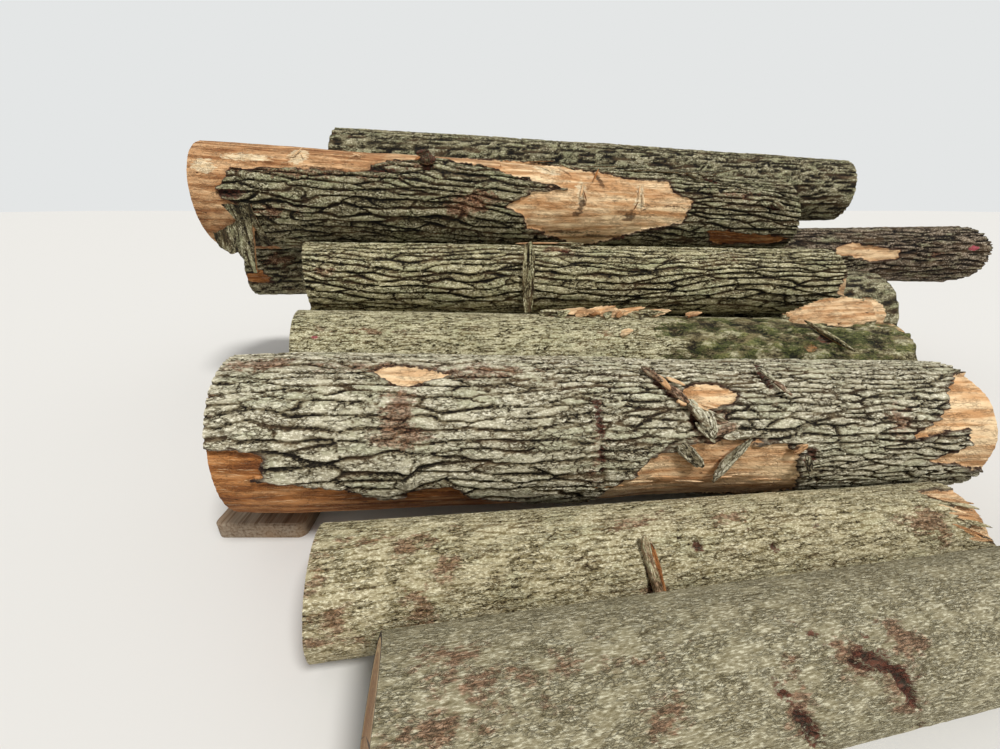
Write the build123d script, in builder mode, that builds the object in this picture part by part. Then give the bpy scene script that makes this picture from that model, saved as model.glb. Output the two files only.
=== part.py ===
from build123d import *
import os
from dataclasses import dataclass
from math import cos, pi, radians, sin, sqrt, tan

import numpy as np

# Heap of felled oak logs, stacked lengthwise by a loader.
# X runs along the logs, Y away from the side that is looked at, Z up.
# All sizes are in millimetres.

# Sizes that drive the whole heap
seat_gap = 0.5           # clearance left between two pieces that rest on each other
bark_thickness = 20.0    # how deep a debarked patch lies below the bark
spare_end = 160.0        # each log is grown this much too long and then sawn
section_corners = 72     # corners of a log's section, so many that it looks round

# Where each log starts along the heap, how long it is and how thick at either end
front_start = -385.0
front_length = 4000.0
front_left_radius = 254.0
front_right_radius = 205.0
second_start = -720.0
second_length = 2950.0
second_left_radius = 250.0
second_right_radius = 205.0
main_start = -1350.0
main_length = 3880.0
main_left_radius = 444.0
main_right_radius = 374.0
mossy_start = -1490.0
mossy_length = 4440.0
mossy_left_radius = 470.0
mossy_right_radius = 425.0
bed_middle_start = -1700.0
bed_middle_length = 5300.0
bed_middle_left_radius = 455.0
bed_middle_right_radius = 520.0
bed_rear_start = -1500.0
bed_rear_length = 5600.0
bed_rear_left_radius = 405.0
bed_rear_right_radius = 505.0
bed_last_start = -1900.0
bed_last_length = 4900.0
bed_last_left_radius = 410.0
bed_last_right_radius = 360.0
slim_start = -1550.0
slim_length = 4240.0
slim_left_radius = 300.0
slim_right_radius = 272.0
left_rear_start = -2560.0
left_rear_length = 2960.0
left_rear_left_radius = 305.0
left_rear_right_radius = 290.0
right_rear_start = 620.0
right_rear_length = 4330.0
right_rear_left_radius = 270.0
right_rear_right_radius = 305.0
back_start = -2000.0
back_length = 4700.0
back_left_radius = 380.0
back_right_radius = 340.0
crest_start = -1650.0
crest_length = 5280.0
crest_left_radius = 530.0
crest_right_radius = 300.0
top_start = -2375.0
top_length = 4820.0
top_left_radius = 445.0
top_right_radius = 280.0

# How much higher than its left end a log's right end lies, before it settles
slim_climb = -35.0
crest_climb = -190.0
top_climb = -180.0

# How much thicker than an even taper a log is at mid length
bed_middle_swell = 12.0
bed_last_swell = 10.0
crest_swell = 12.0

# Two sawn timbers keep the main log off the ground
main_left_underside = 95.0    # height of the main log above the ground, left end
main_right_underside = 85.0   # and at its right end
left_bearer_width, left_bearer_depth, left_bearer_along = 480.0, 520.0, 60.0
right_bearer_width, right_bearer_depth, right_bearer_along = 300.0, 560.0, 3450.0
bearer_setback = 60.0         # how far the bearers reach behind the main log's middle
bearer_corner = 45.0
bearer_bevel = 10.0

# A limb was sawn off the mossy log near its right end, in two cuts
limb_length = 700.0
limb_depth = 240.0
limb_rise = 441.0        # height of the wide cut above the middle of the log
stub_width = 230.0
stub_depth = 170.0
stub_rise = 500.0
stub_setback = 115.0     # how far behind the log's middle the stub stands

# A slab of bark hangs from the left end of the top log
flap_length = 480.0
flap_width = 335.0
flap_thickness = 30.0

# A loose strip of bark leans on the slim log
strip_length = 530.0
strip_width = 100.0
strip_thickness = 15.0
strip_along = 1760.0

corner_share = (1 + 1 / cos(pi / section_corners)) / 2   # corners as far out as flats are in
taper_changes_at = (0, 0.1, 0.3, 0.6, 1)   # shares of a log's length


@dataclass
class Log:
    """One felled log: its own sizes, and once it is settled, where it lies."""
    start: float              # place of its left end along the heap
    length: float
    left_radius: float
    right_radius: float
    heading: float = 0.0      # degrees, right end turned away from the viewer
    climb: float = 0.0        # how much higher its right end lies than its left end
    swell: float = 0.0        # extra radius at mid length
    left_saw: tuple = (0, 0)  # degrees by which its near side and its top lie further right
    right_saw: tuple = (0, 0) # the same for the right end
    y: float = 0.0            # middle of the left end, once settled
    z: float = 0.0

    def stations(self):
        """Places along the log where its taper changes, and the radius at each."""
        places = self.length * np.array(taper_changes_at)
        shares = np.array(taper_changes_at)
        taper = self.left_radius + (self.right_radius - self.left_radius) * shares
        swell = self.swell * 4 * shares * (1 - shares)
        return places, taper + swell

    def radius(self, along):
        places, radii = self.stations()
        first = radii[0] + (radii[1] - radii[0]) / (places[1] - places[0]) * np.minimum(along, 0)
        last_slope = (radii[-1] - radii[-2]) / (places[-1] - places[-2])
        last = last_slope * np.maximum(along - self.length, 0)
        return np.interp(along, places, radii) + first - radii[0] + last

    def axis(self):
        turned, tipped = radians(self.heading), self.climb / self.length
        flat = sqrt(1 - tipped ** 2)
        return np.array([flat * cos(turned), flat * sin(turned), tipped])

    def across(self):
        turned = radians(self.heading)
        return np.array([-sin(turned), cos(turned), 0.0])

    def upward(self):
        return np.cross(self.axis(), self.across())

    def middle(self, along):
        return np.array([self.start, self.y, self.z]) + np.multiply.outer(along, self.axis())

    def balls(self, places):
        """Balls that just fit inside the log, centred on its middle line."""
        radii = self.radius(places)
        slope = np.gradient(radii, places)
        return self.middle(places), radii / np.sqrt(1 + slope ** 2)

    def saw_facing(self, angles):
        """Direction square to a sawn end, turned and tipped by its saw angles."""
        turned, tipped = (tan(radians(angle)) for angle in angles)
        return self.axis() + turned * self.across() - tipped * self.upward()

    def sawn_off(self, points):
        """True for the points that lie beyond either sawn end."""
        past_left = (points - self.middle(0)) @ self.saw_facing(self.left_saw) < 0
        past_right = (points - self.middle(self.length)) @ self.saw_facing(self.right_saw) > 0
        return past_left | past_right


def clearance(log, other):
    """Smallest gap between two logs, negative where they overlap."""
    pair = (log, other)
    spans = [(-spare_end, item.length + spare_end) for item in pair]
    for _ in range(3):
        places = [np.linspace(*span, 60) for span in spans]
        (middles, radii), (others, other_radii) = (i.balls(p) for i, p in zip(pair, places))
        between = others[None] - middles[:, None]
        apart = np.linalg.norm(between, axis=2)
        towards = between / apart[..., None]
        gone = log.sawn_off(middles[:, None] + radii[:, None, None] * towards)
        gone |= other.sawn_off(others[None] - other_radii[None, :, None] * towards)
        gaps = apart - radii[:, None] - other_radii[None]
        gaps[gone] = np.inf
        nearest = np.unravel_index(gaps.argmin(), gaps.shape)
        steps = [2 * (place[1] - place[0]) for place in places]
        spans = [(p[k] - d, p[k] + d) for p, k, d in zip(places, nearest, steps)]
    return gaps.min()


def lay_flat(log):
    """A log on the ground follows its own taper, so that its underside is level."""
    log.climb = log.right_radius - log.left_radius
    places = np.linspace(0, log.length, 60)
    middles, radii = log.balls(places)
    log.z -= (middles[:, 2] - radii).min()


def push_against(log, neighbour, towards):
    """Slide a log over the ground until it touches its neighbour."""
    log.y = neighbour.y - towards * 3 * (log.left_radius + neighbour.left_radius)
    for _ in range(25):
        log.y += towards * (clearance(log, neighbour) - seat_gap)


def drop_between(log, front, back):
    """Lower a log into the valley between two others until it rests on both."""
    log.y = (front.middle(0)[1] + back.middle(0)[1]) / 2
    log.z = max(front.z, back.z) + log.left_radius
    for _ in range(7):
        gaps = np.array([clearance(log, front), clearance(log, back)]) - seat_gap
        step = 0.5
        log.y += step
        moved_y = np.array([clearance(log, front), clearance(log, back)]) - seat_gap
        log.y -= step
        log.z += step
        moved_z = np.array([clearance(log, front), clearance(log, back)]) - seat_gap
        log.z -= step
        slopes = np.column_stack([moved_y - gaps, moved_z - gaps]) / step
        shift = np.linalg.solve(slopes, -gaps)
        log.y += shift[0]
        log.z += shift[1]


# The logs, front row first
logs = {
    "log_front": Log(front_start, front_length, front_left_radius, front_right_radius,
                     heading=9.4, left_saw=(0, 14)),
    "log_second": Log(second_start, second_length, second_left_radius, second_right_radius,
                      heading=7.6, left_saw=(4, 4), right_saw=(-8, -10)),
    "log_main": Log(main_start, main_length, main_left_radius, main_right_radius,
                    heading=3.6, left_saw=(9, 0), right_saw=(-3, 0)),
    "log_mossy": Log(mossy_start, mossy_length, mossy_left_radius, mossy_right_radius,
                     heading=0.6, left_saw=(14, 0), right_saw=(-14, 0)),
    "log_bed_middle": Log(bed_middle_start, bed_middle_length, bed_middle_left_radius, bed_middle_right_radius,
                          heading=2.2, swell=bed_middle_swell, left_saw=(5, -4), right_saw=(-3, 5)),
    "log_bed_rear": Log(bed_rear_start, bed_rear_length, bed_rear_left_radius, bed_rear_right_radius,
                        heading=3.6, left_saw=(-4, 3), right_saw=(4, -3)),
    "log_bed_last": Log(bed_last_start, bed_last_length, bed_last_left_radius, bed_last_right_radius,
                        heading=3.2, swell=bed_last_swell, left_saw=(3, 4), right_saw=(-6, 3)),
    "log_slim": Log(slim_start, slim_length, slim_left_radius, slim_right_radius,
                    heading=0.8, climb=slim_climb, left_saw=(16, 0), right_saw=(0, -8)),
    "log_left_rear": Log(left_rear_start, left_rear_length, left_rear_left_radius, left_rear_right_radius,
                         heading=2.0, left_saw=(6, 5), right_saw=(-4, 3)),
    "log_right_rear": Log(right_rear_start, right_rear_length, right_rear_left_radius, right_rear_right_radius,
                          heading=2.0, left_saw=(4, 2), right_saw=(30, 0)),
    "log_back": Log(back_start, back_length, back_left_radius, back_right_radius,
                    heading=3.0, left_saw=(-5, 3), right_saw=(4, 4)),
    "log_crest": Log(crest_start, crest_length, crest_left_radius, crest_right_radius,
                     heading=1.0, swell=crest_swell, climb=crest_climb,
                     left_saw=(5, 3), right_saw=(-8, -5)),
    "log_top": Log(top_start, top_length, top_left_radius, top_right_radius,
                   heading=1.0, climb=top_climb, left_saw=(8, 0), right_saw=(0, -14)),
}


def drop_on_three(log, front, back, far_front):
    """The same, tipping the log until it also rests on a third one near its far end."""
    for _ in range(7):
        drop_between(log, front, back)
        log.climb -= 1.3 * (clearance(log, far_front) - seat_gap)


def rest_on_bearers(log, left_underside, right_underside):
    """A log laid on two timbers: its underside runs straight from one to the other."""
    left_middle = left_underside + log.radius(0)
    right_middle = right_underside + log.radius(log.length)
    log.z, log.climb = left_middle, right_middle - left_middle


# Each log comes to rest on those that were laid before it
for ground_log in ("log_mossy", "log_bed_middle", "log_bed_rear", "log_bed_last",
                   "log_second", "log_front"):
    lay_flat(logs[ground_log])
rest_on_bearers(logs["log_main"], main_left_underside, main_right_underside)
push_against(logs["log_main"], logs["log_mossy"], towards=1)
push_against(logs["log_second"], logs["log_main"], towards=1)
push_against(logs["log_front"], logs["log_second"], towards=1)
push_against(logs["log_bed_middle"], logs["log_mossy"], towards=-1)
push_against(logs["log_bed_rear"], logs["log_bed_middle"], towards=-1)
push_against(logs["log_bed_last"], logs["log_bed_rear"], towards=-1)
drop_between(logs["log_slim"], logs["log_mossy"], logs["log_bed_middle"])
drop_between(logs["log_left_rear"], logs["log_bed_middle"], logs["log_bed_rear"])
drop_between(logs["log_right_rear"], logs["log_bed_middle"], logs["log_bed_rear"])
drop_between(logs["log_back"], logs["log_bed_rear"], logs["log_bed_last"])
drop_on_three(logs["log_crest"], logs["log_left_rear"], logs["log_back"], logs["log_right_rear"])
drop_between(logs["log_top"], logs["log_slim"], logs["log_crest"])

# Building the solids

def on_log(log, along, angle, reach=0.0):
    """A point beside the log's middle line; angle 0 faces the viewer and 90 is up."""
    turned = radians(angle)
    return log.middle(along) + reach * (sin(turned) * log.upward() - cos(turned) * log.across())


def facing_out(log, along, angle):
    """A plane at the log's middle line that looks out at an angle, with x along the log."""
    outwards = on_log(log, 0, angle, 1) - log.middle(0)
    return Plane(tuple(log.middle(along)), x_dir=tuple(log.axis()), z_dir=tuple(outwards))


def missing_bark(log, facing, outline):
    """The bark that is torn off inside an outline of points, each a share of the log's
    length and an angle. It is a prism that looks out of the log, less the wood under it."""
    middle = log.length / 2
    corners = [((share - 0.5) * log.length,
                log.radius(share * log.length) * sin(radians(angle - facing)))
               for share, angle in outline]
    reach = 1.5 * max(log.left_radius, log.right_radius)
    places, _ = log.stations()
    places[0] -= spare_end
    places[-1] += spare_end
    across, along_log = tuple(log.across()), tuple(log.axis())
    with BuildPart() as torn:
        with BuildSketch(facing_out(log, middle, facing)):
            with BuildLine():
                Polyline(*corners, close=True)
            make_face()
        extrude(amount=reach)
        for place in places:
            with BuildSketch(Plane(tuple(log.middle(place)), x_dir=across, z_dir=along_log)):
                RegularPolygon(float(log.radius(place) - bark_thickness) * corner_share,
                               section_corners)
        loft(ruled=True, mode=Mode.SUBTRACT)
    return torn


def limb_cut(log, along, outline, rise, lean_back, lean_along):
    """The base of a limb, from inside the log up to a slanting saw cut. The outline's points
    are millimetres along the log and behind its middle line."""
    facing = np.array([lean_along, lean_back, 1.0])
    facing = facing[0] * log.axis() + facing[1] * log.across() + log.upward()
    level = Plane(tuple(log.middle(along)), x_dir=tuple(log.axis()), z_dir=tuple(log.upward()))
    sawn = Plane(tuple(on_log(log, along, 90, rise)), z_dir=tuple(facing))
    with BuildPart() as limb:
        with BuildSketch(level):
            with BuildLine():
                Polyline(*outline, close=True)
            make_face()
        extrude(amount=2 * rise)
        split(bisect_by=sawn, keep=Keep.BOTTOM)
    return limb


def hanging_flap(log):
    """A slab of bark that stays fixed to the near side of a log and hangs straight down."""
    outline = ((0.00, -0.28), (0.40, -0.10), (1.00, 0.00), (0.96, -0.42), (0.90, -1.00),
               (0.78, -1.00), (0.66, -0.82), (0.50, -0.68), (0.34, -0.72), (0.10, -0.62),
               (0.02, -0.48))
    corners = [(flap_width * across, flap_length * down) for across, down in outline]
    near_side = on_log(log, 135, -14, 0.90 * log.left_radius)
    with BuildPart() as flap:
        with BuildSketch(Plane(tuple(near_side), x_dir=tuple(log.axis()),
                               z_dir=tuple(-log.across()))):
            with BuildLine():
                Polyline(*corners, close=True)
            make_face()
        extrude(amount=-flap_thickness)
    return flap


def grow(log, added=(), removed=()):
    """Loft a log through its sections, a little too long, saw it to length, and give it
    what grows on it and what is torn off it."""
    places, _ = log.stations()
    places[0] -= spare_end
    places[-1] += spare_end
    across, facing = tuple(log.across()), tuple(log.axis())
    with BuildPart() as trunk:
        for place in places:
            with BuildSketch(Plane(tuple(log.middle(place)), x_dir=across, z_dir=facing)):
                RegularPolygon(float(log.radius(place)) * corner_share, section_corners)
        loft(ruled=True)
        left_cut = Plane(tuple(log.middle(0)), z_dir=tuple(log.saw_facing(log.left_saw)))
        right_cut = Plane(tuple(log.middle(log.length)), z_dir=tuple(log.saw_facing(log.right_saw)))
        split(bisect_by=left_cut, keep=Keep.TOP)
        split(bisect_by=right_cut, keep=Keep.BOTTOM)
        for piece in added:
            add(piece.part)
        for piece in removed:
            add(piece.part, mode=Mode.SUBTRACT)
    return trunk


# What is torn off and what stands out on the logs. The outlines follow the edge of the bark.
top, main, mossy, slim = (logs[n] for n in ("log_top", "log_main", "log_mossy", "log_slim"))
removed = {
    "log_top": [
        missing_bark(top, 33, ((-0.03, 108), (-0.03, -45), (0.035, -48), (0.072, -24), (0.047, 0),
                               (0.069, 14), (0.097, 29), (0.228, 29), (0.311, 35), (0.311, 104))),
        missing_bark(top, 70, ((0.306, 100), (0.306, 52), (0.393, 60), (0.491, 48), (0.491, 88),
                               (0.40, 97))),
        missing_bark(top, 14, ((0.486, 88), (0.486, 49), (0.547, 37), (0.597, 21), (0.539, 14),
                               (0.508, 1), (0.530, -20), (0.560, -33), (0.600, -46), (0.67, -49),
                               (0.747, -29), (0.805, -21), (0.806, -3), (0.803, 17), (0.777, 28),
                               (0.767, 44), (0.720, 48), (0.654, 56), (0.588, 64))),
    ],
    "log_main": [
        missing_bark(main, -28, ((-0.03, 21), (0.080, 19), (0.062, 0), (0.112, -10), (0.178, -15),
                                 (0.218, -33), (0.259, -17), (0.296, -22), (0.320, -44),
                                 (0.465, -46), (0.465, -78), (-0.03, -78))),
        missing_bark(main, -20, ((0.460, -46), (0.500, -40), (0.522, -22), (0.515, -6),
                                 (0.525, 6), (0.540, 13), (0.608, 17), (0.692, 21), (0.714, 10),
                                 (0.732, -13), (0.735, -32), (0.679, -50), (0.600, -66),
                                 (0.460, -74))),
        missing_bark(main, 25, ((0.964, 69), (0.919, 33), (0.869, 16), (0.932, 16), (0.948, 1),
                                (1.03, -20), (1.03, 72))),
    ],
}
limb_outline = ((0.00, 0.19), (0.43, -0.39), (0.93, -0.31), (1.00, 0.35), (0.77, 0.60), (0.51, 0.60))
limb_start = mossy.length - 850
limb_corners = [(limb_length * x, limb_depth * y) for x, y in limb_outline]
stub_turns = [2 * pi * turn / 12 for turn in range(12)]
stub_corners = [(stub_width / 2 * cos(turn), stub_setback + stub_depth / 2 * sin(turn))
                for turn in stub_turns]
added = {
    "log_mossy": [limb_cut(mossy, limb_start, limb_corners, limb_rise, -0.68, -0.10),
                  limb_cut(mossy, mossy.length - 95, stub_corners, stub_rise - stub_setback, -0.95, 0.0)],
    "log_top": [hanging_flap(top)],
}
pieces = {name: grow(log, added.get(name, ()), removed.get(name, ()))
          for name, log in logs.items()}


# Timbers that keep the main log off the ground
bearer_sizes = {"bearer_left": (left_bearer_width, left_bearer_depth, left_bearer_along),
                "bearer_right": (right_bearer_width, right_bearer_depth, right_bearer_along)}
for name, (wide, deep, along) in bearer_sizes.items():
    low_end, high_end = along - wide / 2, along + wide / 2
    underside = min(main.middle(a)[2] - main.radius(a) for a in (low_end, high_end))
    centre = main.middle(along)
    with BuildPart() as bearer:
        with BuildSketch(Plane.XY):
            with Locations((centre[0], centre[1] + bearer_setback)):
                RectangleRounded(wide, deep, bearer_corner)
        extrude(amount=underside - seat_gap)
        chamfer(bearer.faces().sort_by(Axis.Z)[-1].edges(), bearer_bevel)
    pieces[name] = bearer


def leaning_strip(lean):
    """A loose strip of bark: its foot stands on the mossy log and its back leans on the slim
    log, tipped away from the viewer by an angle."""
    middle, radius = slim.middle(strip_along), slim.radius(strip_along)
    under_along = (middle[0] - mossy.start) / mossy.axis()[0]
    tipped = radians(lean)
    upwards = sin(tipped) * slim.across() + cos(tipped) * slim.upward()
    outwards = sin(tipped) * slim.upward() - cos(tipped) * slim.across()
    back = middle + (radius + seat_gap) * outwards
    # the lower near corner comes down until it is one seat gap above the mossy log
    corner = back + strip_thickness * outwards - mossy.middle(under_along)
    corner -= (corner @ mossy.axis()) * mossy.axis()
    height = corner @ upwards
    reach = mossy.radius(under_along) + seat_gap
    foot = back - (height - sqrt(height ** 2 - corner @ corner + reach ** 2)) * upwards
    # the slim log tapers, and the back of the strip follows it
    taper = (slim.right_radius - slim.left_radius) / slim.length
    across, facing = slim.axis() + taper * outwards, outwards - taper * slim.axis()
    outline = ((-0.28, 0.00), (0.30, 0.00), (0.50, 0.30), (0.46, 0.80), (0.20, 1.00),
               (-0.44, 0.95), (-0.52, 0.38))
    corners = [(strip_width * side, strip_length * up) for side, up in outline]
    with BuildPart() as strip:
        with BuildSketch(Plane(tuple(foot), x_dir=tuple(across), z_dir=tuple(facing))):
            with BuildLine():
                Polyline(*corners, close=True)
            make_face()
        extrude(amount=strip_thickness)
    return strip


pieces["bark_strip"] = leaning_strip(6)

# The heap stands with the middle of its base at the origin
boxes = [piece.part.bounding_box() for piece in pieces.values()]
lowest = [min(getattr(box.min, axis) for box in boxes) for axis in "XYZ"]
highest = [max(getattr(box.max, axis) for box in boxes) for axis in "XYZ"]
shift = (-(lowest[0] + highest[0]) / 2, -(lowest[1] + highest[1]) / 2, -lowest[2])
print("heap measures", [round(b - a) for a, b in zip(lowest, highest)], "shifted by", shift)

os.makedirs("parts", exist_ok=True)
for name, piece in pieces.items():
    print(name, "solids", len(piece.part.solids()), "faces", len(piece.part.faces()))
    placed = piece.part.moved(Location(shift))
    placed.label = name
    export_step(placed, f"parts/{name}.step")
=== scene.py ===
# %% [markdown]
# # A heap of oak logs
# Thirteen felled oak logs lie on each other, as they are left in a timber yard.
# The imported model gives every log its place, its taper and its sawn ends. This lesson gives
# each one its bark: a dense new mesh is laid over the log and pressed in where the bark cracks.

from functools import partial
from math import cos, pi, radians, sin

import bmesh
import bpy
import numpy as np
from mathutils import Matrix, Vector
from mathutils.bvhtree import BVHTree


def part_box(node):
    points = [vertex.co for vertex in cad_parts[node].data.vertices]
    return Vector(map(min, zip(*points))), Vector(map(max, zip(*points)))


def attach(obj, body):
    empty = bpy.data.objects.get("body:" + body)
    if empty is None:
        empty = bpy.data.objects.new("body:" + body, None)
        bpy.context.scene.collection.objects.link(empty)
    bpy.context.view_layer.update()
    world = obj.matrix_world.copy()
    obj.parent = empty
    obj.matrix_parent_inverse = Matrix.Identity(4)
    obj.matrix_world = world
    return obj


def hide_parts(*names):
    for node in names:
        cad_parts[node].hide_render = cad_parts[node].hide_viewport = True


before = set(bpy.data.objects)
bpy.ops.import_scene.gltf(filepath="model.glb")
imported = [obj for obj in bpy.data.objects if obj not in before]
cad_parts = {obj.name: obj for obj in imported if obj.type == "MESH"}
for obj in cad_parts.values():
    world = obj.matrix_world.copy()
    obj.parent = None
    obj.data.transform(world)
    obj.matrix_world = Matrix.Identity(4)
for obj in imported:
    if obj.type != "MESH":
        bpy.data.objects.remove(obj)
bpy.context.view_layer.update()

# %% [markdown]
# ## Camera, floor and light
# The viewer stands close to the heap and looks a little down on it through a wide lens, so the
# nearest log runs out of the picture. A wide soft sun and an even pale sky stand in for a
# studio: the sun shows the relief of the bark and the sky keeps its cracks from going black.

# %% Camera
eye = -1.2538, -3.2197, 1.6503
lens, tipped_down = 14.0, 23.6
scene = bpy.context.scene
camera = bpy.data.objects.new("camera", bpy.data.cameras.new("camera"))
camera.data.sensor_width = 36.0
camera.data.lens = lens
camera.data.clip_end = 400.0
camera.location = eye
camera.rotation_euler = (radians(90.0 - tipped_down), 0.0, 0.0)
scene.collection.objects.link(camera)
scene.camera = camera
scene.view_settings.view_transform = "Standard"
print("camera", eye[2], "m high with a lens of", lens, "mm, tipped down", tipped_down, "degrees")


# %% Helpers for materials
def linear(hex_value):
    """An sRGB hex colour as the linear RGBA that Blender works in."""
    channels = [int(hex_value[i:i + 2], 16) / 255 for i in (1, 3, 5)]
    return [c / 12.92 if c <= 0.04045 else ((c + 0.055) / 1.055) ** 2.4 for c in channels] + [1.0]


def fill(socket, value):
    """Give a socket another node's output, a hex colour, a number or a vector."""
    if isinstance(value, bpy.types.NodeSocket):
        socket.id_data.links.new(value, socket)
    elif isinstance(value, str):
        socket.default_value = linear(value)
    elif value is not None:
        socket.default_value = value


def add_node(tree, kind, settings, *values, out=None):
    """Add a node with its settings, fill its sockets in their order, and return one output."""
    node = tree.nodes.new("ShaderNode" + kind)
    for name, setting in settings.items():
        setattr(node, name, setting)
    for socket, value in zip([socket for socket in node.inputs if socket.enabled], values):
        fill(socket, value)
    return next((socket for socket in node.outputs if socket.enabled and out in (None, socket.name)), None)


def new_material(name):
    """A new material, the node function for its tree, and its surface shader's sockets."""
    material = bpy.data.materials.new(name)
    material.use_nodes = True
    print("material", name)
    return material, partial(add_node, material.node_tree), material.node_tree.nodes["Principled BSDF"].inputs


TIMES, PLUS, MINUS = ({"operation": word} for word in ("MULTIPLY", "ADD", "SUBTRACT"))
TIMES_PLUS = {"operation": "MULTIPLY_ADD"}
SMOOTH = {"interpolation_type": "SMOOTHSTEP"}
COLOURS = {"data_type": "RGBA"}


# %% Helpers for patterns
def covering(add, *parts):
    """How much something covers: the product of its parts. Each is a number, an output, or an
    output with the two values between which it fades in (and what it gives at each)."""
    parts = [add("MapRange", SMOOTH, *part) if isinstance(part, tuple) else part for part in parts]
    product = parts[0]
    for part in parts[1:]:
        product = add("Math", TIMES, product, part)
    return product


def layered(add, colour, *layers):
    """Lay colours over each other, each with the parts that say where it covers."""
    for over, *parts in layers:
        colour = add("Mix", COLOURS, covering(add, *parts), colour, over)
    return colour


def wobbled(add, value, noise, amount):
    """A value that a noise moves up and down over a given range."""
    return add("Math", TIMES_PLUS, add("Math", MINUS, noise, 0.5), amount, value)


# %% Floor
floor_material, add, surface = new_material("pale_floor")
fill(surface["Base Color"], "#d9d7d2")
fill(surface["Roughness"], 0.9)
floor_mesh = bpy.data.meshes.new("floor")
reach = 120.0
floor_corners = [(-reach, -reach, 0), (reach, -reach, 0), (reach, reach, 0), (-reach, reach, 0)]
floor_mesh.from_pydata(floor_corners, [], [(0, 1, 2, 3)])
floor_mesh.materials.append(floor_material)
floor = bpy.data.objects.new("floor", floor_mesh)
scene.collection.objects.link(floor)

# %% Light
sun_strength, sky_strength = 2.6, 0.55
sun = bpy.data.objects.new("sun", bpy.data.lights.new("sun", "SUN"))
sun.data.energy = sun_strength
sun.data.angle = radians(12.0)
towards_sun = Vector((0.42, -0.42, 0.92))
sun.rotation_euler = towards_sun.to_track_quat("Z", "Y").to_euler()
scene.collection.objects.link(sun)
world = bpy.data.worlds.new("studio")
scene.world = world
world.use_nodes = True
world.node_tree.nodes.clear()
add = partial(add_node, world.node_tree)
seen = add("LightPath", {}, out="Is Camera Ray")
sky_light = add("Background", {}, "#ffffff", sky_strength)
backdrop = add("Background", {}, "#e4e6e6", 1.0)
add("OutputWorld", {}, add("MixShader", {}, seen, sky_light, backdrop))
print("sun of strength", sun_strength, "and sky of strength", sky_strength)

# %% [markdown]
# ## Measuring a log
# A log in the model is a tapered trunk with a flat saw cut at each end. To lay a new skin on it,
# the script needs its middle line, its radius along that line, and the two saw planes. All are
# read from the model's own mesh, so the skin follows the log if the model changes.


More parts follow.
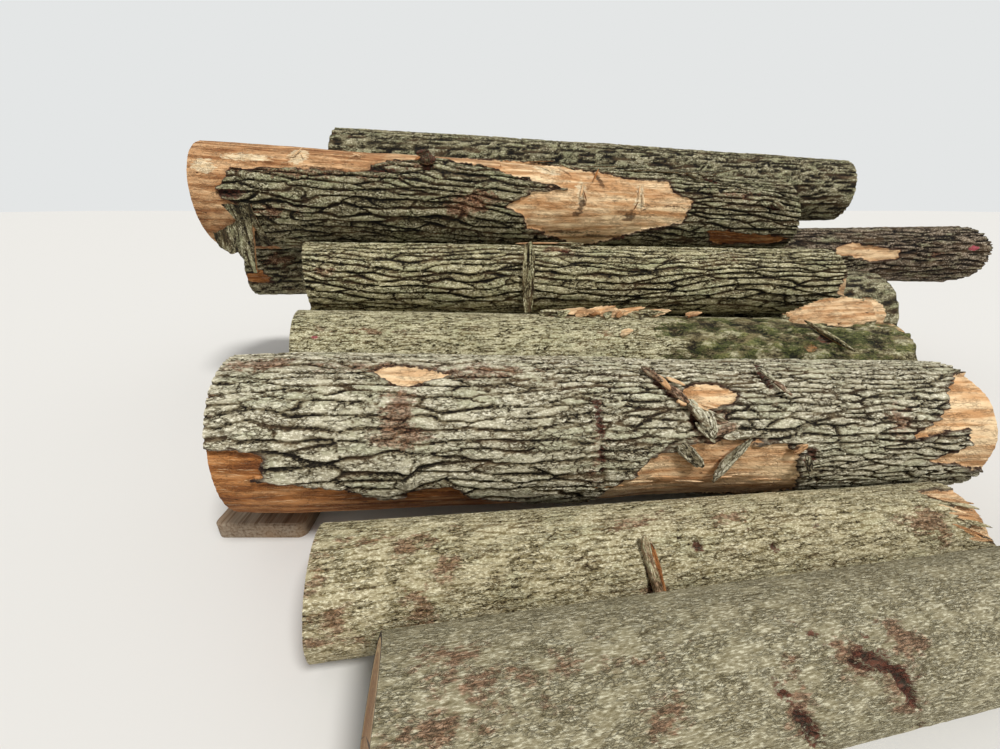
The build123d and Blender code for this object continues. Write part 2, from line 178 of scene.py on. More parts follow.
# %% Measure one log
class Trunk:
    """The plain shape of one log, read from its node."""

    def __init__(self, node):
        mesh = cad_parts[node].data
        faces = [(np.array(face.normal), face.area, np.array(face.center)) for face in mesh.polygons]
        self.normals, self.areas, self.centres = (np.array(values) for values in zip(*faces))
        corners = [vertex.co for vertex in mesh.vertices]
        self.tree = BVHTree.FromPolygons(corners, [tuple(face.vertices) for face in mesh.polygons])
        self.find_axis()
        self.find_cuts()
        spans = np.array(corners) @ self.axis - self.start @ self.axis
        self.reach = spans.min(), spans.max()
        self.places = np.linspace(0.04, 0.96, 21) * self.length
        self.radii = np.array([self.ring(place)[1] for place in self.places])

    def find_axis(self):
        """The direction comes from the side faces, and is refined by a ring of rays at each end."""
        direction = np.array([1.0, 0.0, 0.0])
        for _ in range(4):
            side = np.abs(self.normals @ direction) < 0.5
            weighted = self.normals[side] * self.areas[side, None]
            _, vectors = np.linalg.eigh(weighted.T @ self.normals[side])
            direction = vectors[:, 0] * np.sign(vectors[0, 0])
        middle = (self.centres[side] * self.areas[side, None]).sum(0) / self.areas[side].sum()
        span = (self.centres[side] - middle) @ direction
        for _ in range(3):
            self.set_line(middle, direction)
            first, last = (self.ring(place)[0] for place in (0.6 * span.min(), 0.6 * span.max()))
            direction = (last - first) / np.linalg.norm(last - first)
            middle = (first + last) / 2
        self.set_line(middle, direction)

    def find_cuts(self):
        """Each saw plane is the largest face that looks out of that end. The log starts at the left one."""
        self.cuts = []
        for sign in (-1, 1):
            ranked = np.where(self.normals @ self.axis * sign > 0.7, self.areas, 0)
            facing, point = self.normals[ranked.argmax()], self.centres[ranked.argmax()]
            cut = (self.normals @ facing > 0.999) & (np.abs((self.centres - point) @ facing) < 0.002)
            point = (self.centres[cut] * self.areas[cut, None]).sum(0) / self.areas[cut].sum()
            self.cuts.append((point, facing))
        left, right = ((point - self.start) @ self.axis for point, _ in self.cuts)
        self.set_line(self.start + left * self.axis, self.axis)
        self.length = right - left

    def set_line(self, start, direction):
        """Directions of the log: along it, towards the viewer and upwards."""
        self.start, self.axis = start, direction
        self.side = np.cross(direction, (0, 0, 1))
        self.side /= np.linalg.norm(self.side)
        self.up = np.cross(self.side, direction)

    def ring(self, place, rays=48):
        """Middle and radius of the log at one place, from rays shot outwards. Rays that meet a
        torn patch or a limb lie off the fitted circle and are left out of it."""
        start = self.start + place * self.axis
        turns = 2 * pi * np.arange(rays) / rays
        rays_out = np.outer(np.cos(turns), self.side) + np.outer(np.sin(turns), self.up)
        hits = np.array([self.tree.ray_cast(start, ray)[3] or 0 for ray in rays_out])
        table = np.column_stack([np.ones(rays), np.cos(turns), np.sin(turns)])
        kept = np.abs(hits - np.median(hits)) < 0.04
        for limit in (0.02, 0.008, 0.004, 0.004):
            radius, off_side, off_up = np.linalg.lstsq(table[kept], hits[kept], rcond=None)[0]
            missed = hits - table @ (radius, off_side, off_up)
            kept = np.abs(missed - np.median(missed[kept])) < limit
        return start + off_side * self.side + off_up * self.up, radius

    def radius(self, along):
        """The radius at any place, with the taper carried on past the first and last ring."""
        slopes = np.gradient(self.radii, self.places)
        inner = np.interp(along, self.places, self.radii)
        before = np.minimum(along - self.places[0], 0) * slopes[0]
        after = np.maximum(along - self.places[-1], 0) * slopes[-1]
        return inner + before + after

    def cut_at(self, end, angles):
        """Where a saw plane meets the log's side, for angles round the log."""
        point, facing = self.cuts[end]
        along = np.full(len(angles), (point - self.start) @ self.axis)
        out = np.outer(np.cos(angles), self.side) + np.outer(np.sin(angles), self.up)
        for _ in range(6):
            reach = self.start + out * self.radius(along)[:, None]
            along = ((point - reach) @ facing) / (self.axis @ facing)
        return np.clip(along, *self.reach)

    def slant(self, end, angles):
        """How far along the log a saw plane moves for each metre that a point sinks in."""
        facing = self.cuts[end][1]
        outwards = np.cos(angles) * (self.side @ facing) + np.sin(angles) * (self.up @ facing)
        return outwards / (self.axis @ facing)

    def place(self, along, angles, radius):
        """Points in the room for places on the unrolled log."""
        out = np.cos(angles)[..., None] * self.side + np.sin(angles)[..., None] * self.up
        return self.start + along[..., None] * self.axis + out * radius[..., None]

    def own(self, spots):
        """Points in the log's own directions, from its left end."""
        return (spots - self.start) @ np.column_stack([self.axis, self.side, self.up])


# %% Measure every log
trunks = {node: Trunk(node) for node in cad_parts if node.startswith("log_")}
for node, trunk in trunks.items():
    left_width, right_width = 2 * trunk.radii[0], 2 * trunk.radii[-1]
    print(f"{node}: {trunk.length:.2f} m long, {left_width:.2f} to {right_width:.2f} m thick")

# %% [markdown]
# ## Noise for shapes
# Bark has no two plates alike, so its relief comes from noise. Blender's noise nodes work in a
# material, but here the shape itself has to change, so two kinds of noise are written out for
# whole arrays of points: a soft cloud and a pattern of cells with the distance to their cracks.


# %% Noise helpers
word = np.uint64(2**32 - 1)
seed_step, mix_step, last_step = 2654435761, np.uint64(1274126177), np.uint64(1103515245)
axis_steps = [np.uint64(prime) for prime in (73856093, 19349663, 83492791)]


def scrambled(seed, *cells):
    """A repeatable value from 0 to 1 for each lattice cell: its whole numbers, mixed bit by bit."""
    mixed = np.full(np.shape(cells[0]), (seed * seed_step) % 2**32, np.uint64)
    for cell, step in zip(cells, axis_steps):
        mixed = (mixed ^ (cell.astype(np.int64).astype(np.uint64) * step)) & word
        mixed = (mixed * mix_step ^ (mixed >> np.uint64(15))) & word
    mixed = (mixed ^ (mixed >> np.uint64(13))) * last_step & word
    return ((mixed >> np.uint64(8)) & np.uint64(0xFFFF)).astype(float) / 0xFFFF


def cloud(points, sizes, seed, layers=1):
    """Soft noise from -1 to 1; sizes are the lumps' lengths along each axis."""
    total, share, weight = 0.0, 0.0, 1.0
    scaled = points / np.array(sizes, float)
    for layer in range(layers):
        cell = np.floor(scaled)
        inside = scaled - cell
        ease = inside * inside * (3 - 2 * inside)
        value = 0.0
        for corner in range(8):
            steps = [(corner >> axis) & 1 for axis in range(3)]
            shares = [ease[:, axis] if step else 1 - ease[:, axis] for axis, step in enumerate(steps)]
            corners = [cell[:, axis] + step for axis, step in enumerate(steps)]
            value = value + np.prod(shares, axis=0) * scrambled(seed + layer, *corners)
        total, share = total + weight * (2 * value - 1), share + weight
        scaled, weight = scaled * 2.03, weight * 0.5
    return total / share


def cells(along, around, length, count, girth, seed):
    """Cells over an unrolled log. Gives each point's distance to the nearest crack in metres, how far
    that crack runs along the log (1) or across it (0), a random value of its own cell, and how far
    below the middle of its cell the point lies."""
    u, v = along / length, around * count
    width = girth / count
    column, row = np.floor(u), np.floor(v)
    best = np.full((2, len(u)), 1e9)
    found = np.zeros((2, 2, len(u)))
    own = np.zeros(len(u))
    for step_u in (-1, 0, 1, 2):
        for step_v in (-1, 0, 1):
            cell_v = row + step_v
            wrapped = np.mod(cell_v, count)
            cell_u = column + step_u - 0.5 * np.mod(wrapped, 2)
            spot_u = cell_u + 0.5 + 0.42 * (2 * scrambled(seed, cell_u * 2, wrapped) - 1)
            spot_v = cell_v + 0.5 + 0.36 * (2 * scrambled(seed + 1, cell_u * 2, wrapped) - 1)
            gap_u, gap_v = spot_u - u, spot_v - v
            apart = gap_u**2 + gap_v**2
            first, second = apart < best[0], (apart >= best[0]) & (apart < best[1])
            found[1] = np.where(first, found[0], np.where(second, (gap_u, gap_v), found[1]))
            best[1] = np.where(first, best[0], np.where(second, apart, best[1]))
            found[0] = np.where(first, (gap_u, gap_v), found[0])
            best[0] = np.where(first, apart, best[0])
            own = np.where(first, scrambled(seed + 2, cell_u * 2, wrapped), own)
    across = found[1] - found[0]
    apart = np.sqrt((across**2).sum(0)) + 1e-9
    norm_u, norm_v = np.abs(across) / apart
    steep = np.sqrt((norm_u / length)**2 + (norm_v / width)**2)
    crack = (best[1] - best[0]) / (2 * apart) / steep
    lengthwise = (norm_v / width) / steep
    return crack, lengthwise, own, found[0][1]


def eased(value, low, high):
    """0 below low, 1 above high, and a smooth step between."""
    share = np.clip((value - low) / (high - low), 0, 1)
    return share * share * (3 - 2 * share)


# %% [markdown]
# ## Bark
# Oak bark is a skin of grey ridges and plates. Long furrows run with the trunk, short cracks cross
# them, and the plates between are flat on top. Each log has its own plate length, plate width and
# depth of furrow. The highest plates stay on the model's surface and all else goes inwards.


# %% Plates of bark
def plates(log, points, along, angles, girth, scale, seed):
    """Height of one set of plates, from 0 in a furrow to 1 on top."""
    width, length = log["plate_width"], log["plate_length"] * scale
    count = 2 * round(girth / (width * scale) / 2)
    bend = cloud(points, (0.9 * length, 2.5 * width, 2.5 * width), seed, 2)
    sway = cloud(points, (2.6 * length, 0.3, 0.3), seed + 5)
    around = (angles / (2 * pi) + width * scale * log["sway"] * (bend + 1.6 * sway) / girth) % 1.0
    shifted = along + 0.25 * length * cloud(points, (0.4 * length, 0.05, 0.05), seed + 9)
    crack, lengthwise, own, below = cells(shifted, around, length, count, girth, seed + 20)
    strength = 0.25 + 0.75 * eased(cloud(points, (0.5 * length, 0.06, 0.06), seed + 11, 2), -0.35, 0.35)
    groove = log["groove"] * (0.5 + 0.5 * lengthwise) * (0.6 + 0.6 * strength)
    open_crack = 1 - eased(crack, 0.0, groove)
    height = 1 - open_crack * (0.25 + 0.75 * lengthwise) * (0.35 + 0.65 * strength)
    towards_crack = 1 - np.clip(crack / (0.42 * girth / count), 0, 1)
    height = height * (1 - log["round"] * towards_crack**2)
    overlap = log["overlap"] * np.clip(below, -0.5, 0.5) * (1.2 * own + 0.2)
    return height - 0.18 * own + overlap * (1 - open_crack) - 0.5 * log["overlap"]


# %% Bark relief
def bark_relief(log, points, along, angles, radius):
    """Height of the bark from 0 in a furrow to 1 on a plate. Small cracks and lumps lie over the
    plates, and a log may have finer plates towards its right end."""
    girth = 2 * pi * radius.mean()
    height = plates(log, points, along, angles, girth, 1.0, log["seed"])
    if "finer" in log:
        start, end, scale = log["finer"]
        finer = plates(log, points, along, angles, girth, scale, log["seed"] + 200)
        drift = 0.5 * cloud(points, (0.5, 0.3, 0.3), log["seed"] + 12)
        share = eased(along + drift, start, end)
        height = height * (1 - share) + finer * share
    minor, _, _, _ = cells(along, angles / (2 * pi) % 1.0, log["plate_length"] * 0.4,
                           2 * round(girth / log["plate_width"]), girth, log["seed"] + 40)
    lumps = cloud(points, (0.035, 0.014, 0.014), log["seed"] + 60, 2)
    lumpy = log.get("lumpy", 0.09)
    height -= 0.16 * (1 - eased(minor, 0.0, log["groove"] * 0.5)) + lumpy * (1 - lumps)
    return np.clip(height + 0.03 + lumpy, 0, 1)


# %% [markdown]
# ## Where bark is torn, rubbed or mossy
# Dragging tears bark off in sheets with a ragged edge, rubs it brown and cuts gashes into it. A gash
# is pressed into the skin and painted near black, which is painted shade in its hollow. A painted mask
# would have its own blurred pixels. Here each patch is an outline on the unrolled log, and every point
# of the skin gets its distance to that outline in metres, with noise added so that the edge is torn.
# Shape and colour both follow that distance, so they agree.


# %% Distance to an outline
def outline_distance(along, arc, corners):
    """Distance in metres to the edge of an outline on the unrolled log, positive inside it."""
    nearest = np.full(len(along), 1e9)
    inside = np.zeros(len(along), bool)
    for (x0, y0), (x1, y1) in zip(corners, corners[1:] + corners[:1]):
        run, rise = x1 - x0, y1 - y0
        share = np.clip(((along - x0) * run + (arc - y0) * rise) / (run * run + rise * rise), 0, 1)
        nearest = np.minimum(nearest, np.hypot(along - x0 - share * run, arc - y0 - share * rise))
        crosses = (y0 > arc) != (y1 > arc)
        slope = run / rise if rise else 0.0
        inside ^= crosses & (along < x0 + (arc - y0) * slope)
    return np.where(inside, nearest, -nearest)


# %% Distance to every patch
far_outside = -0.5
patch_kinds = ("bare", "moss", "rubbed", "gash", "paint", "torn")


def turned_from(angles, heading):
    """How far each angle lies from a heading, from -pi to pi."""
    return (angles - heading + pi) % (2 * pi) - pi


def inside_patch(patch, trunk, along, angles, radius):
    """How far inside one patch each point lies, in metres, before its edge is torn."""
    if "outline" in patch:
        heading = radians(sum(angle for _, angle in patch["outline"]) / len(patch["outline"]))
        corners = []
        for share, angle in patch["outline"]:
            place = share * trunk.length
            corners.append((place, (radians(angle) - heading) * float(trunk.radius(place))))
        return outline_distance(along, turned_from(angles, heading) * radius, corners)
    share, angle, half_length, half_width = patch["spot"]
    run, rise = along - share * trunk.length, turned_from(angles, radians(angle)) * radius
    lean = radians(patch["lean"])
    run, rise = run * cos(lean) + rise * sin(lean), rise * cos(lean) - run * sin(lean)
    return min(half_length, half_width) * (1 - np.hypot(run / half_length, rise / half_width))


def patch_fields(log, trunk, along, angles, radius, points):
    """For each kind of patch, how far inside the nearest one each point lies, in metres."""
    fields = {kind: np.full(len(along), far_outside) for kind in patch_kinds}
    aged = np.zeros(len(along))
    for number, patch in enumerate(log["patches"]):
        seed = 300 + 7 * number + log["seed"]
        tear = cloud(points, (0.20, 0.045, 0.045), seed, 3)
        tear = tear + 0.8 * cloud(points, (0.06, 0.018, 0.018), seed + 3, 2)
        inside = inside_patch(patch, trunk, along, angles, radius) + patch["ragged"] * tear
        if patch["kind"] == "bare":
            aged = np.where(inside > np.maximum(fields["bare"], -0.05), patch["aged"], aged)
        fields[patch["kind"]] = np.maximum(fields[patch["kind"]], inside)
    return fields, aged


# %% [markdown]
# ## A skin for each log
# The model's logs are smooth, as if peeled. A material could bend the light on them, but their
# outline would stay smooth, and so would the mesh itself. So each log gets a dense new skin:
# rows of points along it, close together where the viewer looks, each pressed inwards as far as
# its furrow, gash or missing bark is deep. Sawn ends are closed by rings that shrink to the pith.


# %% Depth of a skin
def skin_depth(log, trunk, along, angles, radius):
    """How deep each point lies below the plain log, and the values that its colours follow."""
    points = np.column_stack([along, radius * np.cos(angles), radius * np.sin(angles)])
    height = bark_relief(log, points, along, angles, radius)
    fields, aged = patch_fields(log, trunk, along, angles, radius, points)
    stripped = eased(fields["bare"], -0.004, 0.006)
    fibres = cloud(points, (0.30, 0.010, 0.010), log["seed"] + 70, 3)
    hollows = cloud(points, (0.35, 0.12, 0.12), log["seed"] + 75, 2)
    wood_depth = log["bark"] + 0.004 * (1 - fibres) + 0.006 * (1 - hollows)
    swell = cloud(points, (0.9, 0.35, 0.35), log["seed"] + 90, 2)
    bark_depth = log["depth"] * (1 - height) + log["uneven"] * (0.5 - 0.5 * swell)
    gash = eased(fields["gash"], -0.004, 0.012)
    mossy = eased(fields["moss"], -0.01, 0.03) * (1 - gash)
    cushion = eased(cloud(points, (0.10, 0.07, 0.07), log["seed"] + 80, 4), -0.5, 0.5)
    moss_depth, gash_depth = 0.026, 0.016
    bark_depth = bark_depth * (1 - mossy) + mossy * moss_depth * (1 - cushion) + gash_depth * gash
    height = height * (1 - mossy) + cushion * mossy
    for share, angle, half_length, half_width, rise in log.get("bosses", ()):
        turn = turned_from(angles, radians(angle))
        reach = np.hypot((along - share * trunk.length) / half_length, turn * radius / half_width)
        bark_depth -= rise * eased(1 - reach, 0.0, 0.9)
    depth = bark_depth * (1 - stripped) + wood_depth * stripped
    return depth, dict(fields, height=height, aged=aged)


# %% Parts of a skin
def angle_steps(log, trunk):
    """Angles round the log, close together where the viewer looks and wider behind."""
    fine, radius = log["cell"][1], trunk.radii.max()
    low, high = (radians(angle) for angle in log["seen"])
    near = max(8, round((high - low) * radius / fine))
    rest = max(8, round((2 * pi - high + low) * radius / (fine * log["coarser"])))
    seen = np.linspace(low, high, near, endpoint=False)
    hidden = np.linspace(high, low + 2 * pi, rest, endpoint=False)
    return np.concatenate([seen, hidden])


def end_rings(trunk, end, rim, spots, total):
    """The sawn face of one end, as rings that close in on the pith."""
    point, facing = trunk.cuts[end]
    outer = spots[rim]
    steep = trunk.axis @ facing
    pith = trunk.start + ((point - trunk.start) @ facing) / steep * trunk.axis
    rings, faces, depths, before = [], [], [], rim
    thick = np.linalg.norm(outer - pith, axis=1)
    for share in (0.95, 0.82, 0.55, 0.22):
        ring = pith + (outer - pith) * share
        ring += (((point - ring) @ facing) / steep)[:, None] * trunk.axis
        rings.append(ring)
        depths.append(thick * (1 - share))
        now = np.arange(total, total + len(rim))
        total += len(rim)
        sides = [before, np.roll(before, -1), np.roll(now, -1), now]
        faces += np.stack(sides if end == 0 else sides[::-1], axis=-1).tolist()
        before = now
    rings.append(pith[None])
    for first, second in zip(before.tolist(), np.roll(before, -1).tolist()):
        faces.append((first, second, total) if end == 0 else (second, first, total))
    depths.append(thick[:1])
    return np.concatenate(rings), faces, np.concatenate(depths)


def store(mesh, name, values):
    """Keep one number or one vector for each vertex, for the material to read."""
    values = np.asarray(values, float)
    kind, field = ("FLOAT", "value") if values.ndim == 1 else ("FLOAT_VECTOR", "vector")
    mesh.attributes.new(name, kind, "POINT").data.foreach_set(field, values.ravel())


def new_piece(name, mesh, *materials, sharp):
    """Make a mesh with stored values a visible piece: smooth, but sharp where it bends by more
    than so many degrees."""
    mesh.polygons.foreach_set("use_smooth", np.ones(len(mesh.polygons), bool))
    mesh.set_sharp_from_angle(angle=radians(sharp))
    for material in materials:
        mesh.materials.append(material)
    piece = bpy.data.objects.new(name, mesh)
    scene.collection.objects.link(piece)
    triangles = sum(len(face.vertices) - 2 for face in mesh.polygons)
    print(f"{name}: {triangles} triangles in", materials[0].name)
    return piece, triangles


# %% Skin of a log
def dress(name, log, *materials):
    """Lay a dense skin of bark over one log, press its furrows in and close its sawn ends."""
    trunk = trunks[name]
    angles = angle_steps(log, trunk)
    rows, columns = round(trunk.length / log["cell"][0]) + 1, len(angles)
    left, right = trunk.cut_at(0, angles), trunk.cut_at(1, angles)
    share = np.linspace(0, 1, rows)
    along = (left + (right - left) * share[:, None]).ravel()
    turned = np.tile(angles, rows)
    radius = trunk.radius(along)
    depth, fields = skin_depth(log, trunk, along, turned, radius)
    weights = np.repeat(share, columns)
    for end, weight in ((0, 1 - weights), (1, weights)):
        along = along + weight * depth * trunk.slant(end, turned)
    vertices = trunk.place(np.clip(along, *trunk.reach), turned, radius - depth)
    on_bark = len(vertices)
    index = np.arange(on_bark).reshape(rows, columns)
    ahead = np.roll(index, -1, axis=1)
    quads = np.stack([index[:-1], index[1:], ahead[1:], ahead[:-1]], axis=-1).reshape(-1, 4)
    end_faces, from_rim = [], np.zeros(on_bark)
    for end, rim in ((0, index[0]), (1, index[-1])):
        spots, faces, depths = end_rings(trunk, end, rim, vertices, len(vertices))
        vertices = np.concatenate([vertices, spots])
        from_rim = np.concatenate([from_rim, depths])
        end_faces += faces
    mesh = bpy.data.meshes.new("bark_" + name)
    mesh.from_pydata(vertices.tolist(), [], quads.tolist() + end_faces)
    mesh.polygons.foreach_set("material_index", np.repeat((0, 1), (len(quads), len(end_faces))))
    on_ends = dict(dict.fromkeys(patch_kinds, far_outside), height=0.5, aged=0.5)
    for label, values in fields.items():
        store(mesh, label, np.concatenate([values, np.full(len(vertices) - on_bark, on_ends[label])]))
    store(mesh, "from_rim", from_rim)
    store(mesh, "place", trunk.own(vertices))
    return new_piece("bark_" + name, mesh, *materials, sharp=62)


# %% [markdown]
# ## Bark and wood as a material
# Oak bark is dry cork: grey on top of the plates, brown in the furrows and near black deep in them,
# where the near black is painted shade. It has a crust of lichen in grains, fine cross cracks drawn
# dark as painted shade, and brown places where it is rubbed. Under it lies wood: cream and orange
# when fresh, brown once it has dried. A picture of bark would repeat and stretch, so noises and one
# net of cracks are laid over each other instead. They read the values that the skin stored, so every
# colour sits on the shape that it belongs to.


# %% Bark material
def bark_material(name, furrow, low, plate, high, lichen, crust, cracks=(0.055, 0.016), relief=1.0,
                  speckle=0.5, patchy=1.0, crack_shade=0.45, flecked=0.5):
    """Oak bark over oak wood. The colours go from the furrow up to the lichen on the plates. crust
    is the size of its grains in metres (about twice the real 4 mm, so that they show), cracks
    the length and spacing of the cross cracks. The rest say how strongly each pattern shows. A
    noise has the length and width of its lumps in metres, its detail and its roughness."""
    material, add, surface = new_material(name)
    place = add("Attribute", {"attribute_name": "place"}, out="Vector")
    stored = ("height", "aged", "bare", "moss", "rubbed", "gash", "paint", "torn")
    raised, aged, bare, moss, rubbed, gash, paint, torn = (
        add("Attribute", {"attribute_name": field}, out="Fac") for field in stored)
    noises = []
    for along, across, detail, rough in (
            (*crust, 3.0, 0.55), (0.030, 0.014, 5.0, 0.7), (0.50, 0.22, 3.0, 0.6),
            (0.10, 0.05, 2.0, 0.6), (0.30, 0.08, 4.0, 0.6), (0.22, 0.10, 3.0, 0.6),
            (0.14, 0.007, 6.0, 0.7), (0.50, 0.045, 4.0, 0.6), (0.16, 0.030, 5.0, 0.65),
            (0.09, 0.030, 5.0, 0.7), (0.16, 0.07, 5.0, 0.7), (0.20, 0.10, 3.0, 0.6)):
        lumps = add("VectorMath", TIMES, place, (1 / along, 1 / across, 1 / across))
        noises.append(add("TexNoise", {}, lumps, 1.0, detail, rough))
    grain, flecks, regions, wander, browns, greens, fibre, streak, peel, knots, tufty, dryness = noises

    bend = add("TexNoise", {}, add("VectorMath", TIMES, place, (1 / 0.12, 1 / 0.05, 1 / 0.05)), out="Color")
    bent = add("VectorMath", TIMES_PLUS, bend, (0.03, 0.03, 0.03), place)
    bent = add("VectorMath", TIMES, bent, (1 / cracks[0], 1 / cracks[1], 1 / cracks[1]))
    from_crack = add("TexVoronoi", {"feature": "DISTANCE_TO_EDGE"}, bent, 1.0)
    crack = covering(add, (from_crack, 0.0, 0.15, 1.0, 0.0), (wander, 0.36, 0.60))
    mean_height = 0.68
    height = add("Math", TIMES_PLUS, raised, relief, mean_height * (1 - relief))
    height = wobbled(add, wobbled(add, height, grain, 1.5 * speckle), flecks, flecked)
    # The cross cracks lower the height that picks the colour, so they show as thin dark lines: painted shade
    # in the cracks.
    height = add("Math", TIMES_PLUS, crack, -crack_shade, height)
    # The furrow and low colours lie where the skin is pressed deepest: partly the browner cork of the
    # furrows, partly painted shade in them, which is why the furrow colours are near black.
    bark = layered(
        add, furrow, (low, (height, 0.02, 0.36)), (plate, (height, 0.32, 0.60)), (high, (height, 0.58, 0.95)),
        (lichen, (grain, 0.50, 0.64), (height, 0.45, 0.8), (regions, 0.35, 0.6, 1.0 - 0.55 * patchy, 1.0)),
        ("#6a5238", (browns, 0.50, 0.66, 0.0, patchy), (height, 0.75, 0.35, 0.15, 0.6)),
        ("#98a077", (greens, 0.46, 0.66, 0.0, patchy), (height, 0.35, 0.7, 0.0, 0.45)))

    gash = wobbled(add, gash, flecks, 0.07)
    gash_edge = -0.006, 0.008
    weathered = aged, 0.0, 0.5, 0.35, 1.0
    fresh = layered(add, "#fbdcae", ("#dca670", (streak, 0.38, 0.66)))
    old = layered(add, "#bd7c40", ("#74431f", (streak, 0.38, 0.66)))
    torn_fibre = layered(add, "#fdebc6", ("#d9b98a", (fibre, 0.4, 0.6)))
    # Wood inside a gash is painted near black: painted shade in the gash's hollow.
    gash_shade_on_wood = layered(add, "#24160c", ("#6b4a2c", (flecks, 0.42, 0.62)))
    wood = layered(
        add, fresh, (old, wobbled(add, aged, streak, 1.2)),
        ("#8c5630", (peel, 0.54, 0.64, 0.0, 0.6), weathered),
        ("#6a3c1e", (fibre, 0.54, 0.70, 0.0, 0.8), weathered),
        ("#fbe0b4", (fibre, 0.44, 0.32, 0.0, 0.6)), ("#3a2112", (knots, 0.63, 0.69, 0.0, 0.9)),
        (torn_fibre, (wobbled(add, torn, flecks, 0.09), *gash_edge, 0.0, 0.85)),
        (gash_shade_on_wood, (gash, *gash_edge, 0.0, 0.85)))

    bare = wobbled(add, bare, flecks, 0.022)
    worn_off = wobbled(add, wobbled(add, rubbed, flecks, 0.20), wander, 0.16)
    brown_cork = layered(add, "#532e1f", ("#9b6647", (grain, 0.38, 0.62)))
    # Bark inside a gash is painted near black: painted shade in the hollow that the skin presses in.
    gash_shade_on_bark = layered(add, "#1a0d08", ("#6a3a2a", (flecks, 0.40, 0.64)))
    bark = layered(
        add, bark, ("#40241a", (bare, -0.026, -0.002), 0.8),
        (brown_cork, (worn_off, -0.015, 0.030), (height, 0.0, 0.5, 0.35, 1.0), 0.66),
        (gash_shade_on_bark, (gash, *gash_edge), 0.92))

    moss = wobbled(add, moss, flecks, 0.30)
    cover = wobbled(add, tufty, grain, 0.35)
    tip = wobbled(add, wobbled(add, raised, grain, 2.6), flecks, 2.4)
    # The moss is near black where its cushion is lowest and pale olive on its tips: partly the moss's own
    # darker base, partly painted shade between the tufts.
    dry_moss = layered(add, "#1e180c", ("#8e8058", (tip, 0.0, 1.2)))
    tufts = layered(add, "#12150a", ("#454b20", (tip, 0.0, 0.6)), ("#85824a", (tip, 0.6, 1.4)),
                    (dry_moss, (dryness, 0.45, 0.60)))
    colour = layered(
        add, bark, (wood, (bare, -0.002, 0.002)),
        (tufts, (moss, -0.015, 0.020), (cover, 0.42, 0.49, 0.08, 0.96), (gash, *gash_edge, 1.0, 0.0)),
        ("#b04a58", (wobbled(add, paint, flecks, 0.03), -0.004, 0.006, 0.0, 0.8)))

    bumps = add("Math", TIMES_PLUS, crack, -1.2, add("Math", PLUS, grain, flecks))
    bumps = add("Math", TIMES_PLUS, fibre, -0.6, bumps)
    bump_strength, bump_depth = 0.9, 0.007
    fill(surface["Base Color"], colour)
    fill(surface["Roughness"], 0.85)
    fill(surface["Specular IOR Level"], 0.25)
    fill(surface["Normal"], add("Bump", {}, bump_strength, bump_depth, None, bumps))
    return material


# %% [markdown]
# ## End grain
# A sawn oak end shows, from the outside in, a thin dark ring of bark, pale sapwood two fingers
# wide, and brown heartwood. Growth rings run round the pith, and checks open from it as the wood
# dries. A wave texture in rings and a noise along the angle draw both. Every log, and each end of
# it, starts its noises elsewhere, so no two ends match.


# %% End grain material
def end_grain_material(name, sapwood, heartwood):
    """Sawn oak seen end on: dull and rough, with a saw's fine scratches as bumps."""
    material, add, surface = new_material(name)
    place = add("Attribute", {"attribute_name": "place"}, out="Vector")
    from_rim = add("Attribute", {"attribute_name": "from_rim"}, out="Fac")
    chance = add("ObjectInfo", {}, out="Random")
    moved = add("VectorMath", TIMES_PLUS, chance, (20, 0, 0), place)
    blotch = add("TexNoise", {}, moved, 7.0, 6.0)
    rough = add("TexNoise", {}, moved, 90.0, 4.0)
    flat = add("VectorMath", TIMES, place, (0, 1, 1))
    round_pith = {"wave_type": "RINGS", "rings_direction": "X"}
    rings = add("TexWave", round_pith, flat, 14.0, 3.0, 3.0, 1.5, out="Fac")
    along, side, up = (add("SeparateXYZ", {}, place, out=axis) for axis in "XYZ")
    far_end = add("Math", {"operation": "GREATER_THAN"}, along, 1.0)
    turn = add("Math", {"operation": "ARCTAN2"}, up, side)
    turn = add("Math", TIMES_PLUS, add("Math", PLUS, far_end, chance), 40.0, turn)
    check = add("TexNoise", {"noise_dimensions": "1D"}, turn, 7.0, 4.0)
    wavy_rim = add("Math", TIMES_PLUS, blotch, 0.05, from_rim)
    wood = layered(
        add, sapwood, (heartwood, (wavy_rim, 0.070, 0.095)), ("#c8a479", (blotch, 0.40, 0.68, 0.0, 0.6)),
        ("#5c4028", (rough, 0.50, 0.66, 0.0, 0.35)), ("#5b3d26", (rings, 0.3, 0.9, 0.0, 0.35)),
        ("#20140c", (check, 0.66, 0.70, 0.0, 0.85)))
    bark_ring = 0.014, 0.020
    fill(surface["Base Color"], layered(add, "#2a1c12", (wood, (from_rim, *bark_ring))))
    fill(surface["Roughness"], 0.8)
    fill(surface["Normal"], add("Bump", {}, 0.6, 0.003, None, add("Math", PLUS, rings, rough)))
    return material


# %% [markdown]
# ## The logs
# Each log gets its own row here: how large its plates are, how deep they are cut, which side the
# viewer sees, and where bark is missing. Angles go round the log from the viewer's side (0)
# over the top (90) to the back (180).

# %% Kinds of bark
blocky = dict(plate_length=0.24, plate_width=0.054, sway=0.55, groove=0.010, overlap=0.34, round=0.20,
              depth=0.018, bark=0.020, uneven=0.010)
ridged = dict(plate_length=0.33, plate_width=0.052, sway=0.80, groove=0.010, overlap=0.42, round=0.26,
              depth=0.023, bark=0.022, uneven=0.012, lumpy=0.19)
shallow = dict(plate_length=0.12, plate_width=0.026, sway=0.60, groove=0.005, overlap=0.30, round=0.25,
               depth=0.006, bark=0.014, uneven=0.006)
scaly = dict(plate_length=0.10, plate_width=0.020, sway=1.10, groove=0.005, overlap=0.60, round=0.20,
             depth=0.004, bark=0.012, uneven=0.004)
for kind in (blocky, ridged, shallow, scaly):
    print(f"plates of {kind['plate_length']} by {kind['plate_width']} m, {kind['depth']} m deep")

